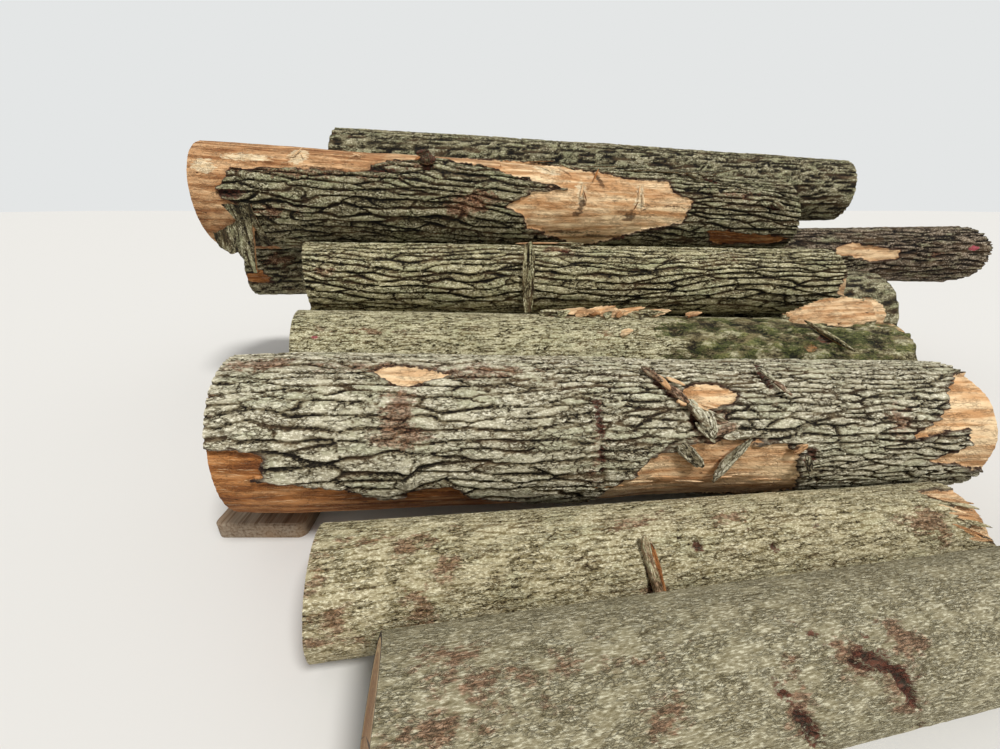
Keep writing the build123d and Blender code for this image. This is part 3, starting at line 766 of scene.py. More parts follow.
# %% [markdown]
# ## Where each log lost its bark
# The top log was dragged until half of it is bare, the main one has a few windows down to fresh
# wood, the others are only rubbed. A large patch is an outline, whose corners are a share of the
# log's length and an angle round it. A small one is an ellipse: its place, half its length and
# half its width in metres, and how far it leans.


# %% Patches
def region(kind, *outline, ragged=0.024, aged=0.0):
    """A patch with an outline. Its edge wanders by about the length of ragged, in metres."""
    return dict(kind=kind, outline=outline, ragged=ragged, aged=aged)


def bare(aged, *outline, ragged=0.024):
    """Bark torn off down to the wood, fresh at 0 and weathered at 1."""
    return region("bare", *outline, ragged=ragged, aged=aged)


def ellipses(kind, *rows, ragged=0.02, aged=0.5):
    """Round or long patches of one kind. A row may end with its lean in degrees."""
    return [dict(kind=kind, spot=row[:4], lean=sum(row[4:]), ragged=ragged, aged=aged) for row in rows]


# %% Patches of the top log
top_patches = [
    bare(0.68, (-0.03, 108), (-0.03, -62), (0.050, -64), (0.073, -42), (0.083, -19), (0.083, -9),
         (0.061, -1), (0.055, 9), (0.070, 22), (0.075, 30), (0.13, 32), (0.198, 34), (0.276, 34),
         (0.307, 50), (0.307, 104)),
    bare(0.40, (0.300, 104), (0.300, 50), (0.361, 57), (0.393, 66), (0.44, 58), (0.495, 48),
         (0.495, 88), (0.40, 100)),
    bare(0.14, (0.486, 86), (0.490, 48), (0.515, 42), (0.542, 36), (0.601, 30), (0.602, 24),
         (0.539, 17), (0.505, 0), (0.533, -11), (0.538, -25), (0.571, -35), (0.638, -67), (0.66, -60),
         (0.693, -46), (0.734, -29), (0.801, -17), (0.805, 3), (0.811, 18), (0.775, 30), (0.771, 49),
         (0.72, 52), (0.679, 56), (0.64, 66), (0.606, 74), (0.55, 82)),
    bare(0.95, (0.851, -27), (0.90, -30), (0.96, -36), (1.0, -42), (0.98, -56), (0.872, -57),
         (0.860, -45)),
    *ellipses("rubbed", (0.444, 0, 0.20, 0.09, 20), (0.36, 44, 0.16, 0.02), (0.18, 28, 0.30, 0.02)),
    *ellipses("gash", (0.948, 16, 0.05, 0.025, -30), (0.375, 48, 0.040, 0.055)),
    *ellipses("rubbed", (0.88, 30, 0.12, 0.03), (0.13, -14, 0.18, 0.03)),
    *ellipses("gash", (0.84, 62, 0.10, 0.020, -35), (0.815, 70, 0.12, 0.02, -20)),
    *ellipses("torn", (0.172, 54, 0.07, 0.11), (0.095, 46, 0.16, 0.04), (0.036, 30, 0.08, 0.06),
              (0.567, 60, 0.10, 0.05, -30), (0.624, 23, 0.035, 0.10), (0.722, 21, 0.030, 0.13)),
    *ellipses("gash", (0.626, 5, 0.030, 0.05), (0.620, -6, 0.040, 0.03), (0.711, -8, 0.060, 0.035),
              (0.651, 54, 0.014, 0.11, 20), (0.259, 36, 0.20, 0.012), (0.07, 2, 0.10, 0.03),
              (0.60, -36, 0.18, 0.02), (0.665, -44, 0.20, 0.02), (0.76, 8, 0.12, 0.010)),
]
print("top log:", len(top_patches), "patches")

# %% Patches of the main log
main_patches = [
    # The lower left window is the most weathered brown (1.00); part of that darkness is painted shade under
    # the log.
    bare(1.00, (-0.03, 23), (0.030, 22), (0.058, 21), (0.080, 15), (0.073, 5), (0.060, 0), (0.115, -3),
         (0.168, -10), (0.215, -20), (0.248, -11), (0.283, -9), (0.296, -15), (0.306, -21),
         (0.344, -27), (0.40, -38), (0.465, -50), (0.465, -78), (-0.03, -78)),
    bare(0.24, (0.455, -46), (0.480, -18), (0.513, -5), (0.528, 8), (0.545, 14), (0.570, 17),
         (0.634, 20), (0.699, 17), (0.715, 8), (0.721, -3), (0.735, -20), (0.746, -34), (0.69, -52),
         (0.600, -66), (0.455, -74)),
    bare(0.00, (1.03, 82), (0.985, 76), (0.962, 68), (0.935, 56), (0.930, 42), (0.905, 31), (0.868, 19),
         (0.900, 22), (0.950, 26), (0.955, 14), (0.938, 6), (0.905, 0), (0.95, -5), (1.0, -12),
         (1.03, -14)),
    bare(0.20, (0.190, 74), (0.205, 80), (0.227, 82), (0.250, 78), (0.283, 71), (0.262, 66),
         (0.245, 62), (0.219, 62), (0.205, 68), ragged=0.014),
    bare(0.05, (0.563, 49), (0.578, 60), (0.599, 65), (0.624, 64), (0.647, 55), (0.634, 48),
         (0.610, 44), (0.590, 43), ragged=0.012),
    *ellipses("rubbed", (0.225, 48, 0.07, 0.12), (0.232, 28, 0.10, 0.05), (0.853, 34, 0.05, 0.09),
              (0.60, 32, 0.10, 0.09, 30), (0.05, 82, 0.16, 0.05), (0.32, 76, 0.20, 0.04),
              (0.00, 34, 0.05, 0.12), (0.46, 14, 0.02, 0.09), (0.17, 80, 0.14, 0.03)),
    *ellipses("gash", (0.462, 33, 0.010, 0.14, 4), (0.694, 67, 0.022, 0.11, -6),
              (0.545, 74, 0.030, 0.10, 12), (0.562, 56, 0.05, 0.035, -35), (0.590, 36, 0.05, 0.06),
              (0.735, 8, 0.03, 0.05)),
]
print("main log:", len(main_patches), "patches")

# %% Patches of the other logs
second_patches = [
    bare(0.30, (0.925, 95), (0.93, 83), (0.95, 70), (0.945, 55), (0.95, 42), (0.985, 20), (1.05, 5),
         (1.05, 100), ragged=0.035),
    *ellipses("rubbed", (0.09, 88, 0.14, 0.025), (0.122, 74, 0.035, 0.018), (0.045, 25, 0.035, 0.07),
              (0.14, 30, 0.05, 0.08), (0.02, 6, 0.09, 0.02), (0.02, 55, 0.03, 0.06),
              (0.88, 55, 0.10, 0.05), (0.90, 42, 0.03, 0.03), (0.43, 84, 0.09, 0.03),
              (0.58, 78, 0.05, 0.03)),
    *ellipses("gash", (0.437, 40, 0.016, 0.10)),
    *ellipses("rubbed", (0.435, 10, 0.06, 0.05), (0.17, 52, 0.04, 0.05)),
    *ellipses("gash", (0.51, 52, 0.012, 0.020), (0.62, 45, 0.012, 0.016), (0.70, 62, 0.015, 0.010)),
]
front_patches = [
    *ellipses("rubbed", (0.065, 96, 0.08, 0.030), (0.068, 77, 0.09, 0.035), (0.15, 80, 0.09, 0.015),
              (0.06, 62, 0.10, 0.02), (0.352, 62, 0.07, 0.045, -60), (0.385, 34, 0.07, 0.05, -70),
              (0.30, 36, 0.03, 0.07), (0.404, 62, 0.05, 0.04), (0.02, 45, 0.05, 0.06),
              (0.20, 42, 0.05, 0.03)),
    *ellipses("gash", (0.345, 64, 0.10, 0.010, -42), (0.392, 30, 0.12, 0.014, -66),
              (0.302, 26, 0.10, 0.014, -58), (0.375, 52, 0.06, 0.012, -25)),
]
mossy_patches = [
    region("moss", (0.60, 100), (0.63, 84), (0.57, 66), (0.62, 50), (0.59, 36), (0.72, 26), (0.98, 26),
           (1.04, 60), (1.04, 92), (0.86, 104), ragged=0.09),
    bare(0.10, (0.955, 98), (0.945, 84), (0.985, 70), (1.03, 66), (1.03, 96)),
    *ellipses("bare", (0.818, 50, 0.035, 0.045), aged=0.8),
    *ellipses("gash", (0.850, 60, 0.05, 0.06, -55)),
    *ellipses("paint", (0.055, 52, 0.02, 0.02)),
    *ellipses("rubbed", (0.12, 60, 0.16, 0.02), (0.50, 60, 0.04, 0.03), (0.46, 92, 0.18, 0.03)),
]
slim_patches = [
    *ellipses("rubbed", (0.802, 52, 0.06, 0.025), (0.47, 72, 0.10, 0.05)),
    *ellipses("bare", (1.0, 4, 0.05, 0.09), aged=0.3),
    *ellipses("rubbed", (0.06, 20, 0.05, 0.04)),
    *ellipses("gash", (0.48, 66, 0.05, 0.03)),
]
right_rear_patches = [
    bare(0.35, (0.655, 24), (0.70, 31), (0.76, 22), (0.815, 16), (0.81, -2), (0.74, -6), (0.70, 3),
         (0.665, 6)),
    *ellipses("paint", (0.992, 20, 0.04, 0.03)),
    *ellipses("rubbed", (0.90, 5, 0.05, 0.03)),
    *ellipses("gash", (0.60, 10, 0.05, 0.06)),
]
left_rear_patches = [
    *ellipses("bare", (0.05, -16, 0.10, 0.05), ragged=0.05, aged=1.0),
    *ellipses("rubbed", (0.12, 20, 0.12, 0.06)),
]

# %% [markdown]
# ## All thirteen logs
# A log's cell is the length and width of one face of its skin in metres: 8 mm where the viewer is
# near and a plate shows its edge, and up to 40 mm on logs that lie hidden in the heap. Only the
# angles that are seen get the fine cells. Its seed starts its noises somewhere of its own.

# %% Logs
buried = dict(blocky, cell=(0.040, 0.0360), seen=(-60, 120), coarser=1.2, patches=[])
main_bosses = ((0.236, 2, 0.055, 0.14, 0.030), (0.61, 50, 0.16, 0.11, 0.020))
logs = {
    "log_main": dict(blocky, seed=11, cell=(0.0125, 0.0084), seen=(-75, 108), coarser=3.0, skin="grey",
                     finer=(1.2, 2.4, 0.72), patches=main_patches, bosses=main_bosses),
    "log_second": dict(shallow, seed=23, cell=(0.0105, 0.0074), seen=(-40, 130), coarser=2.6, skin="pale",
                       patches=second_patches),
    "log_front": dict(scaly, seed=37, cell=(0.0120, 0.0080), seen=(-25, 145), coarser=3.0, skin="tan",
                      patches=front_patches),
    "log_top": dict(ridged, seed=41, cell=(0.0145, 0.0095), seen=(-70, 110), coarser=2.8, skin="dark",
                    patches=top_patches),
    "log_slim": dict(ridged, seed=53, cell=(0.0135, 0.0088), seen=(-60, 105), coarser=3.0, skin="olive",
                     patches=slim_patches),
    "log_mossy": dict(shallow, seed=67, cell=(0.014, 0.0095), seen=(15, 115), coarser=4.0, skin="fine",
                      patches=mossy_patches),
    "log_crest": dict(ridged, seed=71, cell=(0.024, 0.0165), seen=(60, 240), coarser=2.0, skin="dark",
                      patches=[]),
    "log_right_rear": dict(ridged, seed=83, cell=(0.020, 0.0130), seen=(-60, 120), coarser=2.4, skin="brown",
                           patches=right_rear_patches),
    "log_left_rear": dict(buried, seed=97, cell=(0.028, 0.0200), skin="dark", patches=left_rear_patches),
    "log_bed_middle": dict(buried, seed=101, skin="dark"),
    "log_bed_rear": dict(buried, seed=113, skin="grey"),
    "log_bed_last": dict(buried, seed=127, cell=(0.024, 0.0180), seen=(60, 240), coarser=2.4, skin="grey"),
    "log_back": dict(ridged, seed=131, cell=(0.025, 0.0180), seen=(50, 230), coarser=2.4, skin="olive",
                     patches=[]),
}
for name, log in logs.items():
    print(name, "has", len(log["patches"]), "patches and is", log["skin"])

# %% [markdown]
# ## Seven finishes of bark
# Bark greys with age, goes green in the shade and stays tan where it is thin, so each kind of log
# has its own material. Five colours lead from the furrow up to the lichen, chosen against
# the photograph, and the strengths say how much of each pattern that bark shows.

# %% Finishes
coarse, small, tiny = (0.014, 0.009), (0.012, 0.006), (0.021, 0.005)
skins = {
    "grey": bark_material(
        "oak_bark_grey", "#1f180f", "#766b51", "#b4ac91", "#d2caae", "#f4eed6", coarse, patchy=0.7),
    "pale": bark_material(
        "oak_bark_pale_green", "#33281a", "#877a55", "#b1a582", "#c6bc97", "#ebe2c0", small, (0.070, 0.014),
        relief=0.55, speckle=0.75, patchy=0.5, crack_shade=0.30, flecked=0.35),
    "fine": bark_material(
        "oak_bark_fine", "#2c2312", "#877c57", "#ada582", "#c6bf9b", "#f0e9c6", small, (0.060, 0.016),
        relief=0.8, speckle=0.85, patchy=0.6),
    "tan": bark_material(
        "oak_bark_tan", "#453a24", "#7e7456", "#9a9174", "#aea689", "#d2cbae", tiny, (0.050, 0.009),
        relief=0.28, speckle=0.85, patchy=0.12, crack_shade=0.10, flecked=0.16),
    # The dark finish is partly bark that is darker of itself and partly painted shade: it was darkened for
    # the top log, whose front lies in shade.
    "dark": bark_material(
        "oak_bark_dark_and_shaded", "#0f0b05", "#3c331e", "#7b7355", "#aca482", "#dcd5b7", coarse, patchy=0.8),
    "olive": bark_material(
        "oak_bark_olive", "#130d05", "#53482d", "#9d946f", "#c5bc95", "#f0e9c8", coarse, patchy=0.8),
    # The brown finish is darker and browner partly as painted shade, for the rear log on the right, which
    # lies in shade.
    "brown": bark_material(
        "oak_bark_brown_and_shaded", "#0f0904", "#2e2216", "#5d4e3b", "#8b7b66", "#c6b8a2", coarse, patchy=0.8),
}
end_grain = end_grain_material("oak_end_grain", sapwood="#d0b184", heartwood="#a0754a")

# %% Dress every log
log_triangles = 0
for name, log in logs.items():
    body, triangles = dress(name, log, skins[log["skin"]], end_grain)
    log_triangles += triangles
    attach(body, "root")
    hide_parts(name)
print("logs:", log_triangles, "triangles")

# %% [markdown]
# ## Torn bark, chips and limbs
# Felling and dragging leave loose bits: slabs of bark, split slivers of sapwood, torn shards. Each
# is a thin plate with a ragged outline, curled a little as it was on its log. One function makes
# the plate; the lists below it say where each one lies.


# %% A pile of plates
plain_bark = dict(dict.fromkeys(patch_kinds, far_outside), height=0.7, aged=0.3)


class Pile:
    """Collects the vertices, faces and stored values of several small plates in one piece."""

    def __init__(self):
        self.spots, self.faces, self.places, self.values, self.total = [], [], [], [], 0

    def add(self, spots, faces, own, **values):
        """Put one plate in. A value that isn't given is that of plain bark."""
        self.faces += [[corner + self.total for corner in face] for face in faces]
        self.spots.append(spots)
        self.places.append(own)
        self.values.append({label: np.broadcast_to(np.asarray(values.get(label, rest), float), len(spots))
                            for label, rest in plain_bark.items()})
        self.total += len(spots)

    def piece(self, name, material):
        """Make one visible piece of all its plates."""
        mesh = bpy.data.meshes.new(name)
        mesh.from_pydata(np.concatenate(self.spots).tolist(), [], self.faces)
        store(mesh, "place", np.concatenate(self.places))
        for label in plain_bark:
            store(mesh, label, np.concatenate([values[label] for values in self.values]))
        body, _ = new_piece(name, mesh, material, sharp=40)
        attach(body, "root")
        return body


# %% One plate
def ragged_outline(outline, cell, ragged, seed):
    """Points at even steps round an outline, moved in and out to look torn, and their middle."""
    corners = np.array(list(outline) + [outline[0]], float)
    steps = np.linalg.norm(np.diff(corners, axis=0), axis=1)
    walked = np.concatenate([[0], np.cumsum(steps)])
    count = max(14, round(walked[-1] / cell))
    stops = np.linspace(0, walked[-1], count, endpoint=False)
    rim = np.column_stack([np.interp(stops, walked, corners[:, axis]) for axis in (0, 1)])
    middle = rim.mean(0)
    jag = cloud(np.column_stack([rim, np.zeros(count)]), (0.020, 0.008, 1), seed, 3)
    half_width = np.abs(corners[:, 1] - middle[1]).max()
    return middle + (rim - middle) * (1 + ragged * jag)[:, None], middle, half_width


def plate_faces(count, levels):
    """Quads and triangles of both sides of a plate made of rings round a middle, and of its edge."""
    total = count * levels + 1
    side = np.arange(count)
    after = np.roll(side, -1)
    faces = []
    for outer in range(0, (levels - 1) * count, count):
        inner = outer + count
        quads = np.stack([outer + side, outer + after, inner + after, inner + side], axis=-1)
        faces += quads.tolist() + (quads[:, ::-1] + total).tolist()
    last = (levels - 1) * count
    triangles = np.stack([last + side, last + after, np.full(count, total - 1)], axis=-1)
    walls = np.stack([side, side + total, after + total, after], axis=-1)
    return faces + triangles.tolist() + (triangles[:, ::-1] + total).tolist() + walls.tolist()


def slab(pile, origin, along, across, outline, thickness, curl=0.0, ragged=0.12, cell=0.0105, seed=1,
         bark=True, aged=0.3, bumps=0.004, stain=far_outside, burnt=far_outside):
    """A thin plate. Its outline is in metres along two directions; curl is how far its sides bend
    back. The outer face carries bark, the inner face and the edges are wood."""
    along = np.asarray(along, float) / np.linalg.norm(along)
    out = np.cross(along, across)
    out /= np.linalg.norm(out)
    across = np.cross(out, along)
    rim, middle, half_width = ragged_outline(outline, cell, ragged, seed)
    shares = (1.0, 0.93, 0.78, 0.58, 0.36, 0.14)
    flat = np.concatenate([middle + (rim - middle) * share for share in shares] + [middle[None]])
    inward = np.append(np.repeat(shares, len(rim)), 0.0)
    points = np.column_stack([flat, np.zeros(len(flat))])
    bend = -curl * ((flat[:, 1] - middle[1]) / half_width)**2
    half_thick = thickness / 2 * (1 - 0.45 * eased(inward, 0.80, 1.0))
    ridge = cloud(points, (0.10, 0.014, 1), seed + 4, 3)
    front = bend + half_thick + bumps * ridge
    back = bend - half_thick + 0.4 * bumps * cloud(points, (0.12, 0.01, 1), seed + 8)
    flat_spots = np.asarray(origin) + flat[:, :1] * along + flat[:, 1:] * across
    both_sides = np.concatenate([flat_spots + level[:, None] * out for level in (front, back)])
    own = np.concatenate([np.column_stack([flat, level]) for level in (front, back)]) + seed * 0.37
    height = np.concatenate([0.55 + 0.5 * ridge, np.full(len(flat), 0.5)])
    stripped = np.repeat((far_outside if bark else 0.05, 0.05), len(flat))
    pile.add(both_sides, plate_faces(len(rim), len(shares)), own,
             height=height, bare=stripped, aged=aged, rubbed=stain, gash=burnt)


# %% One chip on a log
def chip(pile, name, share, angle, length, width, thickness=0.010, lean=0.0, lift=0.0, above=0.0, point=0.4,
         seed=1, roll=0.0, **look):
    """A long chip on a log: lean turns it over the bark, lift raises its far end, point sharpens it
    and roll raises its upper edge."""
    trunk = trunks[name]
    place, heading = share * trunk.length, radians(angle)
    out = cos(heading) * trunk.side + sin(heading) * trunk.up
    around = cos(heading) * trunk.up - sin(heading) * trunk.side
    spot = trunk.start + place * trunk.axis + (trunk.radius(place) + above + thickness / 2) * out
    turned, raised, rolled = radians(lean), radians(lift), radians(roll)
    run = cos(turned) * trunk.axis + sin(turned) * around
    across = cos(turned) * around - sin(turned) * trunk.axis
    run = cos(raised) * run + sin(raised) * out
    across = cos(rolled) * across + sin(rolled) * out
    half, wide = length / 2, width / 2
    outline = ((-half, -0.3 * wide), (-0.6 * half, -wide), (0.1 * half, -0.9 * wide),
               (0.7 * half, -(1 - point) * wide), (half, 0.05 * wide), (0.6 * half, 0.7 * wide),
               (-0.2 * half, wide), (-0.8 * half, 0.6 * wide))
    slab(pile, spot + 0.5 * length * sin(raised) * out, run, across, outline, thickness, seed=seed, **look)


# %% [markdown]
# ## Shards of the main log
# Where the windows were torn open, strips of bark and slivers of wood still hold on at one end.
# They could be pressed out of the skin, but they stand off it and overlap, so each is a plate. A
# row gives its share of the length and angle, then length, width, lean and lift.

# %% Shards on the main log
pile = Pile()
barked_shards = (
    (0.549, 63, 0.12, 0.036, -73, 6, False), (0.540, 70, 0.14, 0.040, -62, 4, True),
    (0.575, 48, 0.20, 0.022, -32, 3, False), (0.592, 46, 0.15, 0.018, -18, 3, False),
    (0.562, 54, 0.15, 0.050, -52, 5, True), (0.583, 40, 0.16, 0.060, -64, 5, True),
    (0.597, 33, 0.15, 0.060, -84, 5, True), (0.612, 29, 0.18, 0.050, 12, 4, True),
    (0.640, 25, 0.22, 0.040, 4, 3, True), (0.692, 70, 0.12, 0.036, -80, 6, True),
    (0.702, 58, 0.11, 0.030, -66, 6, True), (0.712, 15, 0.08, 0.040, 30, 4, False),
    (0.728, 2, 0.12, 0.035, -70, 6, True), (0.566, 64, 0.10, 0.024, -40, 5, False),
    (0.603, 38, 0.12, 0.030, -30, 6, True), (0.590, 27, 0.13, 0.034, -50, 6, True))
for number, (share, angle, length, width, lean, lift, bark) in enumerate(barked_shards):
    chip(pile, "log_main", share, angle, length, width, 0.011, lean, lift, seed=20 + number, bark=bark,
         aged=0.35, stain=0.03 if number % 3 == 1 else far_outside)
chip(pile, "log_main", 0.575, 11, 0.17, 0.070, 0.026, -42, 2, -0.016, point=0.2, seed=41, bumps=0.010,
     curl=0.014)
chip(pile, "log_main", 0.626, 8, 0.27, 0.052, 0.022, 57, 4, -0.010, point=0.6, seed=42, bumps=0.010,
     curl=0.012)
for number in range(7):
    chip(pile, "log_main", 0.48 + 0.035 * number, -14 + 3.0 * (number % 3), 0.16, 0.012, 0.006,
         6 - 4 * (number % 4), 1, -0.020, 0.8, 43 + number, bark=False, aged=0.1)
pile.piece("main_log_shards", skins["grey"])

# %% Splinters on the second log
pile = Pile()
for number in range(12):
    chip(pile, "log_second", 0.944 + 0.007 * (number % 4), 88 - 6 * number, 0.13 + 0.012 * (number % 3),
         0.014 + 0.003 * (number % 4), 0.007, -10 - 5 * (number % 5), 1 + number % 3, -0.012, 0.8,
         60 + number, bark=number % 4 == 3, aged=0.10 + 0.12 * (number % 3))
chip(pile, "log_second", 0.438, 36, 0.27, 0.050, 0.022, -84, 4, -0.010, point=0.25, seed=75, bumps=0.008,
     curl=0.010, stain=0.02)
chip(pile, "log_second", 0.444, 32, 0.24, 0.022, 0.012, -82, 3, 0.002, point=0.7, seed=76, bark=False,
     aged=0.9)
pile.piece("second_log_splinters", skins["pale"])

# %% [markdown]
# ## Litter in the valley
# Chips and flakes that fell off lie wedged between the mossy log and the slim one. A simulation
# could drop them, but a few dozen flat bits can be laid one by one: each is rolled up by its upper
# edge so that it leans into the valley.

# %% Chips in the valley
pile = Pile()
wedged = (
    (0.455, 101, 0.22, 0.06, 5, 6, False, 0.1), (0.475, 97, 0.16, 0.06, -12, 5, False, 0.5),
    (0.500, 101, 0.26, 0.07, 12, 8, False, 0.0), (0.523, 98, 0.20, 0.08, -6, 5, False, 0.4),
    (0.550, 102, 0.28, 0.06, 4, 8, False, 0.1), (0.582, 99, 0.20, 0.07, -14, 5, True, 0.6),
    (0.440, 96, 0.13, 0.06, 20, 4, True, 0.5), (0.600, 101, 0.22, 0.06, -8, 6, False, 0.3),
    (0.512, 93, 0.12, 0.05, 25, 3, True, 0.7), (0.563, 94, 0.14, 0.06, -20, 4, True, 0.6),
    (0.530, 65, 0.10, 0.05, 10, 2, False, 0.0), (0.66, 100, 0.16, 0.04, 6, 4, False, 0.6),
    (0.418, 98, 0.16, 0.06, -8, 4, True, 0.6), (0.535, 96, 0.18, 0.04, 32, 5, False, 0.7),
    (0.488, 95, 0.14, 0.04, -30, 5, False, 0.8))
for number, (share, angle, length, width, lean, lift, bark, aged) in enumerate(wedged):
    chip(pile, "log_mossy", share, angle - 6, length, 1.1 * width, 0.012, 1.6 * lean, lift, 0.014, 0.8,
         80 + number, roll=34 + 6 * (number % 4), bark=bark, aged=aged, curl=0.010, ragged=0.35)

# %% Chips on the mossy log and the slim log
chip(pile, "log_mossy", 0.853, 60, 0.36, 0.036, 0.022, -55, 0, -0.006, 0.5, 95, aged=1.0, bumps=0.007)
chip(pile, "log_mossy", 0.858, 57, 0.26, 0.016, 0.010, -55, 0, -0.002, 0.5, 99, bark=False, aged=1.0)
chip(pile, "log_slim", 0.436, 92, 0.36, 0.050, 0.012, 3, 1, -0.006, 0.5, 96, bark=False, aged=0.45)
chip(pile, "log_slim", 0.492, 86, 0.18, 0.060, 0.012, -15, 3, -0.004, 0.4, 97, aged=0.6)
chip(pile, "log_slim", 0.508, 78, 0.12, 0.050, 0.012, 20, 5, -0.004, 0.4, 98, aged=0.6)
pile.piece("valley_chips", skins["olive"])

# %% [markdown]
# ## Torn bits of the top log
# At the edges of its large bare places the bark stands up in flaps, and thin slivers of wood are
# split off. One broken stub is painted near black with the gash colours, which is painted shade on it. The
# same chips serve, thick ones first.

# %% Torn bits on the top log
pile = Pile()
# The stub and the chip beside it take the near black gash colours: painted shade on them.
stub = dict(bumps=0.018, curl=0.02, burnt=0.003)
chip(pile, "log_top", 0.376, 52, 0.17, 0.12, 0.050, -70, 14, -0.022, 0.2, 101, **stub)
chip(pile, "log_top", 0.368, 60, 0.13, 0.09, 0.030, -50, 22, -0.010, 0.5, 102, bumps=0.012, burnt=0.006)
chip(pile, "log_top", 0.366, 56, 0.12, 0.03, 0.012, 30, 14, -0.004, 0.5, 103, bark=False, aged=1.0)
torn_flaps = (
    (0.800, 72, 0.26, 0.08, -25, 4), (0.830, 66, 0.23, 0.07, -40, 6), (0.862, 74, 0.32, 0.04, 15, 9),
    (0.815, 60, 0.19, 0.06, -60, 6), (0.788, 79, 0.22, 0.07, 10, 4), (0.730, 76, 0.30, 0.06, 4, 2),
    (0.660, 80, 0.30, 0.05, -4, 2), (0.602, 62, 0.18, 0.020, -50, 4), (0.955, 15, 0.13, 0.050, -34, 6),
    (0.845, 78, 0.24, 0.05, -12, 7), (0.770, 70, 0.20, 0.05, -20, 4), (0.56, 80, 0.24, 0.05, 3, 2))
for number, (share, angle, length, width, lean, lift) in enumerate(torn_flaps):
    chip(pile, "log_top", share, angle, length, width, 0.013, lean, lift, -0.006, 0.5, 110 + number, aged=0.6)
slivers = (
    (0.260, 61, 0.12, 40), (0.262, 60, 0.11, -38), (0.170, 58, 0.14, 72), (0.179, 52, 0.10, -64),
    (0.163, 50, 0.08, 20), (0.625, 27, 0.12, 78), (0.630, 18, 0.10, -72), (0.720, 28, 0.13, 84),
    (0.727, 17, 0.11, -80), (0.716, 8, 0.08, 66), (0.566, 63, 0.14, -34), (0.650, 56, 0.17, 68))
weathered_slivers = 6, 9, 11
for number, (share, angle, length, lean) in enumerate(slivers):
    chip(pile, "log_top", share, angle, length, 0.009 + 0.003 * (number % 3), 0.005, lean, 1.5, -0.021, 0.7,
         150 + number, bark=False, aged=1.1 if number in weathered_slivers else 0.0)
pile.piece("top_log_torn_bits", skins["dark"])

# %% [markdown]
# ## Limbs, the hanging flap and the leaning strip
# These stand out too far from their logs to be pressed out of the bark skin. The model already
# has their plain shape, so each one starts as a copy of that part of the model. A voxel remesh
# gives it an even, dense mesh, and noise then roughens the sides into bark or torn wood.


# %% Copy a part of the model
def cut_out(node, low, high, voxel):
    """A dense, even mesh of the part of a node that lies inside a box, with its normals."""
    source = bpy.data.objects.new("cut_out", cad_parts[node].data.copy())
    scene.collection.objects.link(source)
    shape = bmesh.new()
    shape.from_mesh(source.data)
    bmesh.ops.remove_doubles(shape, verts=shape.verts, dist=0.00001)
    for axis, limits in enumerate(zip(low, high)):
        for limit, sign in zip(limits, (-1, 1)):
            normal = [sign if i == axis else 0 for i in range(3)]
            point = [limit if i == axis else 0 for i in range(3)]
            everything = shape.verts[:] + shape.edges[:] + shape.faces[:]
            cut = bmesh.ops.bisect_plane(
                shape, geom=everything, plane_co=point, plane_no=normal, clear_outer=True)
            edges = [edge for edge in cut["geom_cut"] if isinstance(edge, bmesh.types.BMEdge)]
            bmesh.ops.holes_fill(shape, edges=edges)
    bmesh.ops.triangulate(shape, faces=shape.faces)
    shape.to_mesh(source.data)
    shape.free()
    remesh = source.modifiers.new("even", "REMESH")
    remesh.mode, remesh.voxel_size = "VOXEL", voxel
    mesh = bpy.data.meshes.new_from_object(source.evaluated_get(bpy.context.evaluated_depsgraph_get()))
    bpy.data.objects.remove(source)
    spots, normals = np.empty((2, 3 * len(mesh.vertices)))
    mesh.vertices.foreach_get("co", spots)
    mesh.vertex_normals.foreach_get("vector", normals)
    print(node, "cut out:", len(mesh.vertices), "points")
    return spots.reshape(-1, 3), normals.reshape(-1, 3), [tuple(face.vertices) for face in mesh.polygons]


def keep(spots, normals, faces, kept):
    """Only the faces whose corners are all kept, and the points they need, renumbered."""
    faces = [face for face in faces if all(kept[corner] for corner in face)]
    used = np.unique([corner for face in faces for corner in face])
    number = np.full(len(spots), -1)
    number[used] = np.arange(len(used))
    return spots[used], normals[used], [tuple(int(number[corner]) for corner in face) for face in faces]


def outside_trunk(trunk, spots):
    """How far each point lies outside the plain trunk."""
    along, side, up = trunk.own(spots).T
    return np.hypot(side, up) - trunk.radius(along)


# %% Limbs of the mossy log
mossy = trunks["log_mossy"]
low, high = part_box("log_mossy")
beside_limbs = (mossy.start + 2.55 * mossy.axis)[0], low[1], 0.55
spots, normals, faces = cut_out("log_mossy", beside_limbs, high, 0.011)
spots, normals, faces = keep(spots, normals, faces, outside_trunk(mossy, spots) > 0.003)
_, side, up = mossy.own(spots).T
inward = -(np.outer(side, mossy.side) + np.outer(up, mossy.up)) / np.hypot(side, up)[:, None]
sunk = 0.035 * (1 - eased(outside_trunk(mossy, spots), 0.0, 0.035))
sawn_ways = [np.array(way) / np.linalg.norm(way) for way in ((0.05, -0.56, 0.83), (-0.3, -0.7, 0.7))]
wood = eased(np.maximum(0, np.max([normals @ way for way in sawn_ways], axis=0)), 0.90, 0.97)
ridges = cloud(spots, (0.035, 0.035, 0.22), 501, 3)
scales = cloud(spots, (0.02, 0.02, 0.09), 507, 2)
relief = (0.014 * (ridges - 0.6) + 0.010 * (scales - 0.7)) * (1 - wood)
torn = 0.006 * (cloud(spots, (0.05, 0.012, 0.012), 511, 3) - 1) * wood
spots = spots + normals * (relief + torn)[:, None] + inward * sunk[:, None]
pile = Pile()
pile.add(spots, faces, mossy.own(spots), height=0.62 + 0.5 * ridges, bare=np.where(wood > 0.5, 0.03, -0.03),
         aged=0.22)
pile.piece("limb_bases", skins["fine"])

# %% [markdown]
# ## Hanging flap
# A sheet of bark hangs from the left end of the top log, still grown to it. Its front is bark, its
# back and edges are the pale inner side. It sways more the further down it hangs.

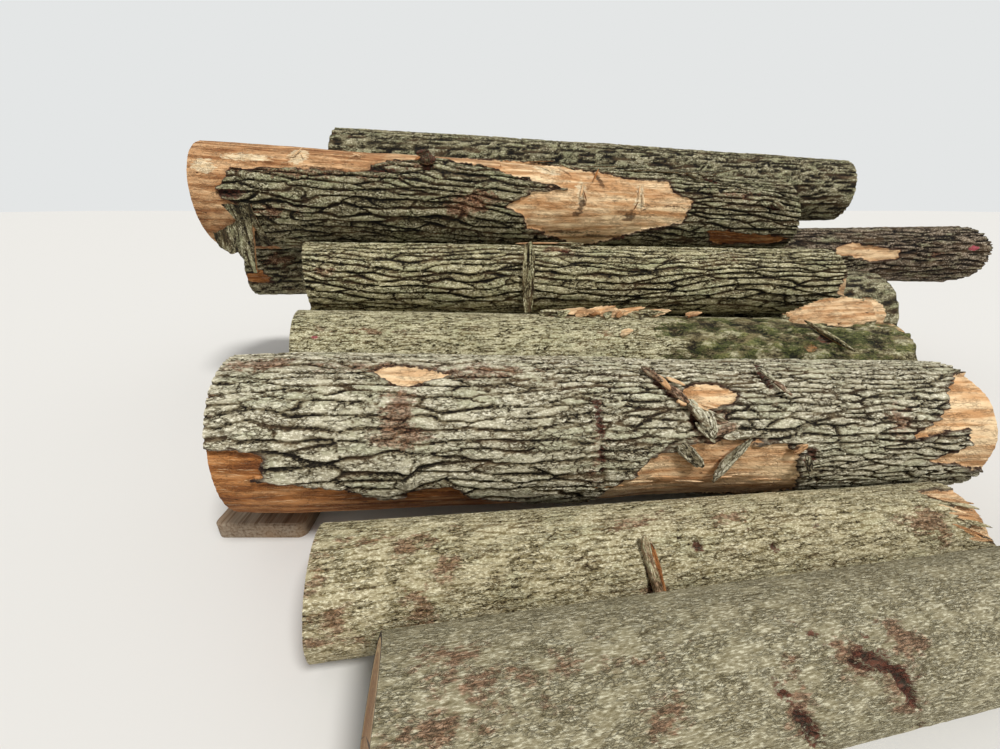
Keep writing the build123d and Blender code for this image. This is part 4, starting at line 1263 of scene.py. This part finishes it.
# %% Hanging flap
to_viewer = np.array([0.0, -1.0, 0.0])
spots, normals, faces = cut_out("log_top", (-3.56, -0.30, 1.08), (-3.12, 0.30, 1.66), 0.008)
spots, normals, faces = keep(spots, normals, faces, outside_trunk(trunks["log_top"], spots) > -0.004)
front = normals @ to_viewer > 0.4
ridges = cloud(spots, (0.018, 0.05, 0.16), 601, 3)
hang = eased(spots[:, 2].max() - spots[:, 2], 0.0, 0.35)
sway = 0.016 * hang * cloud(spots, (0.12, 1.0, 0.20), 607, 2)
spots = spots + normals * (0.006 * (ridges - 0.8))[:, None] + np.outer(sway, (0.3, 1.0, 0.0))
pile = Pile()
pile.add(spots, faces, spots[:, [2, 0, 1]], height=0.5 + 0.6 * ridges, bare=np.where(front, -0.03, 0.03),
         aged=0.8)
pile.piece("hanging_bark_flap", skins["dark"])

# %% [markdown]
# ## Leaning strip of bark
# One long strip came off whole and leans against the slim log. It's the model's own piece, so its
# node is replaced. Its long edges wander by up to 8 mm, as bark tears.

# %% Leaning strip of bark
low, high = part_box("bark_strip")
margin = 0.01
spots, normals, faces = cut_out(
    "bark_strip", [value - margin for value in low], [value + margin for value in high], 0.0055)
ridges = cloud(spots, (0.010, 0.05, 0.12), 701, 3)
notch = 0.012 * cloud(spots, (0.5, 0.5, 0.035), 707, 2) * np.sign(spots[:, 0] - spots[:, 0].mean())
spots = spots + normals * (0.0035 * (ridges - 1.0))[:, None]
spots[:, 0] -= np.clip(notch, -0.008, 0.0)
front = normals @ to_viewer > 0.3
pile = Pile()
pile.add(spots, faces, spots[:, [2, 0, 1]], height=0.45 + 0.7 * ridges, bare=np.where(front, -0.03, 0.03),
         aged=0.7)
strip = pile.piece("leaning_bark", skins["olive"])
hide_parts("bark_strip")

# %% [markdown]
# ## Bearers
# The two squared timbers that keep the lowest logs off the ground are old sawn softwood, gone
# grey outdoors. The model's own blocks are right, so they stay and only get a material: long
# grain, dark weather cracks that run with it, and a little brown where it is still fresh.

# %% Bearers
timber_material, add, surface = new_material("weathered_sawn_softwood")
place = add("TexCoord", {}, out="Object")
grain = add("TexNoise", {}, add("VectorMath", TIMES, place, (60.0, 2.5, 60.0)), 1.0, 6.0, 0.6)
broad = add("TexNoise", {}, place, 5.0, 3.0)
grey = add("ValToRGB", {}, grain)
stops = grey.node.color_ramp.elements
stops.new(0.46)
for stop, position, colour in zip(stops, (0.34, 0.46, 0.66), ("#3f372e", "#857b6c", "#aaa291")):
    stop.position, stop.color = position, linear(colour)
fill(surface["Base Color"], layered(add, grey, ("#8a6a48", broad)))
fill(surface["Normal"], add("Bump", {}, 0.8, 0.003, None, grain))
fill(surface["Roughness"], 0.85)
for name in ("bearer_left", "bearer_right"):
    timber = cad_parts[name]
    timber.data.materials.clear()
    timber.data.materials.append(timber_material)
    print(name, "dressed in", timber_material.name)
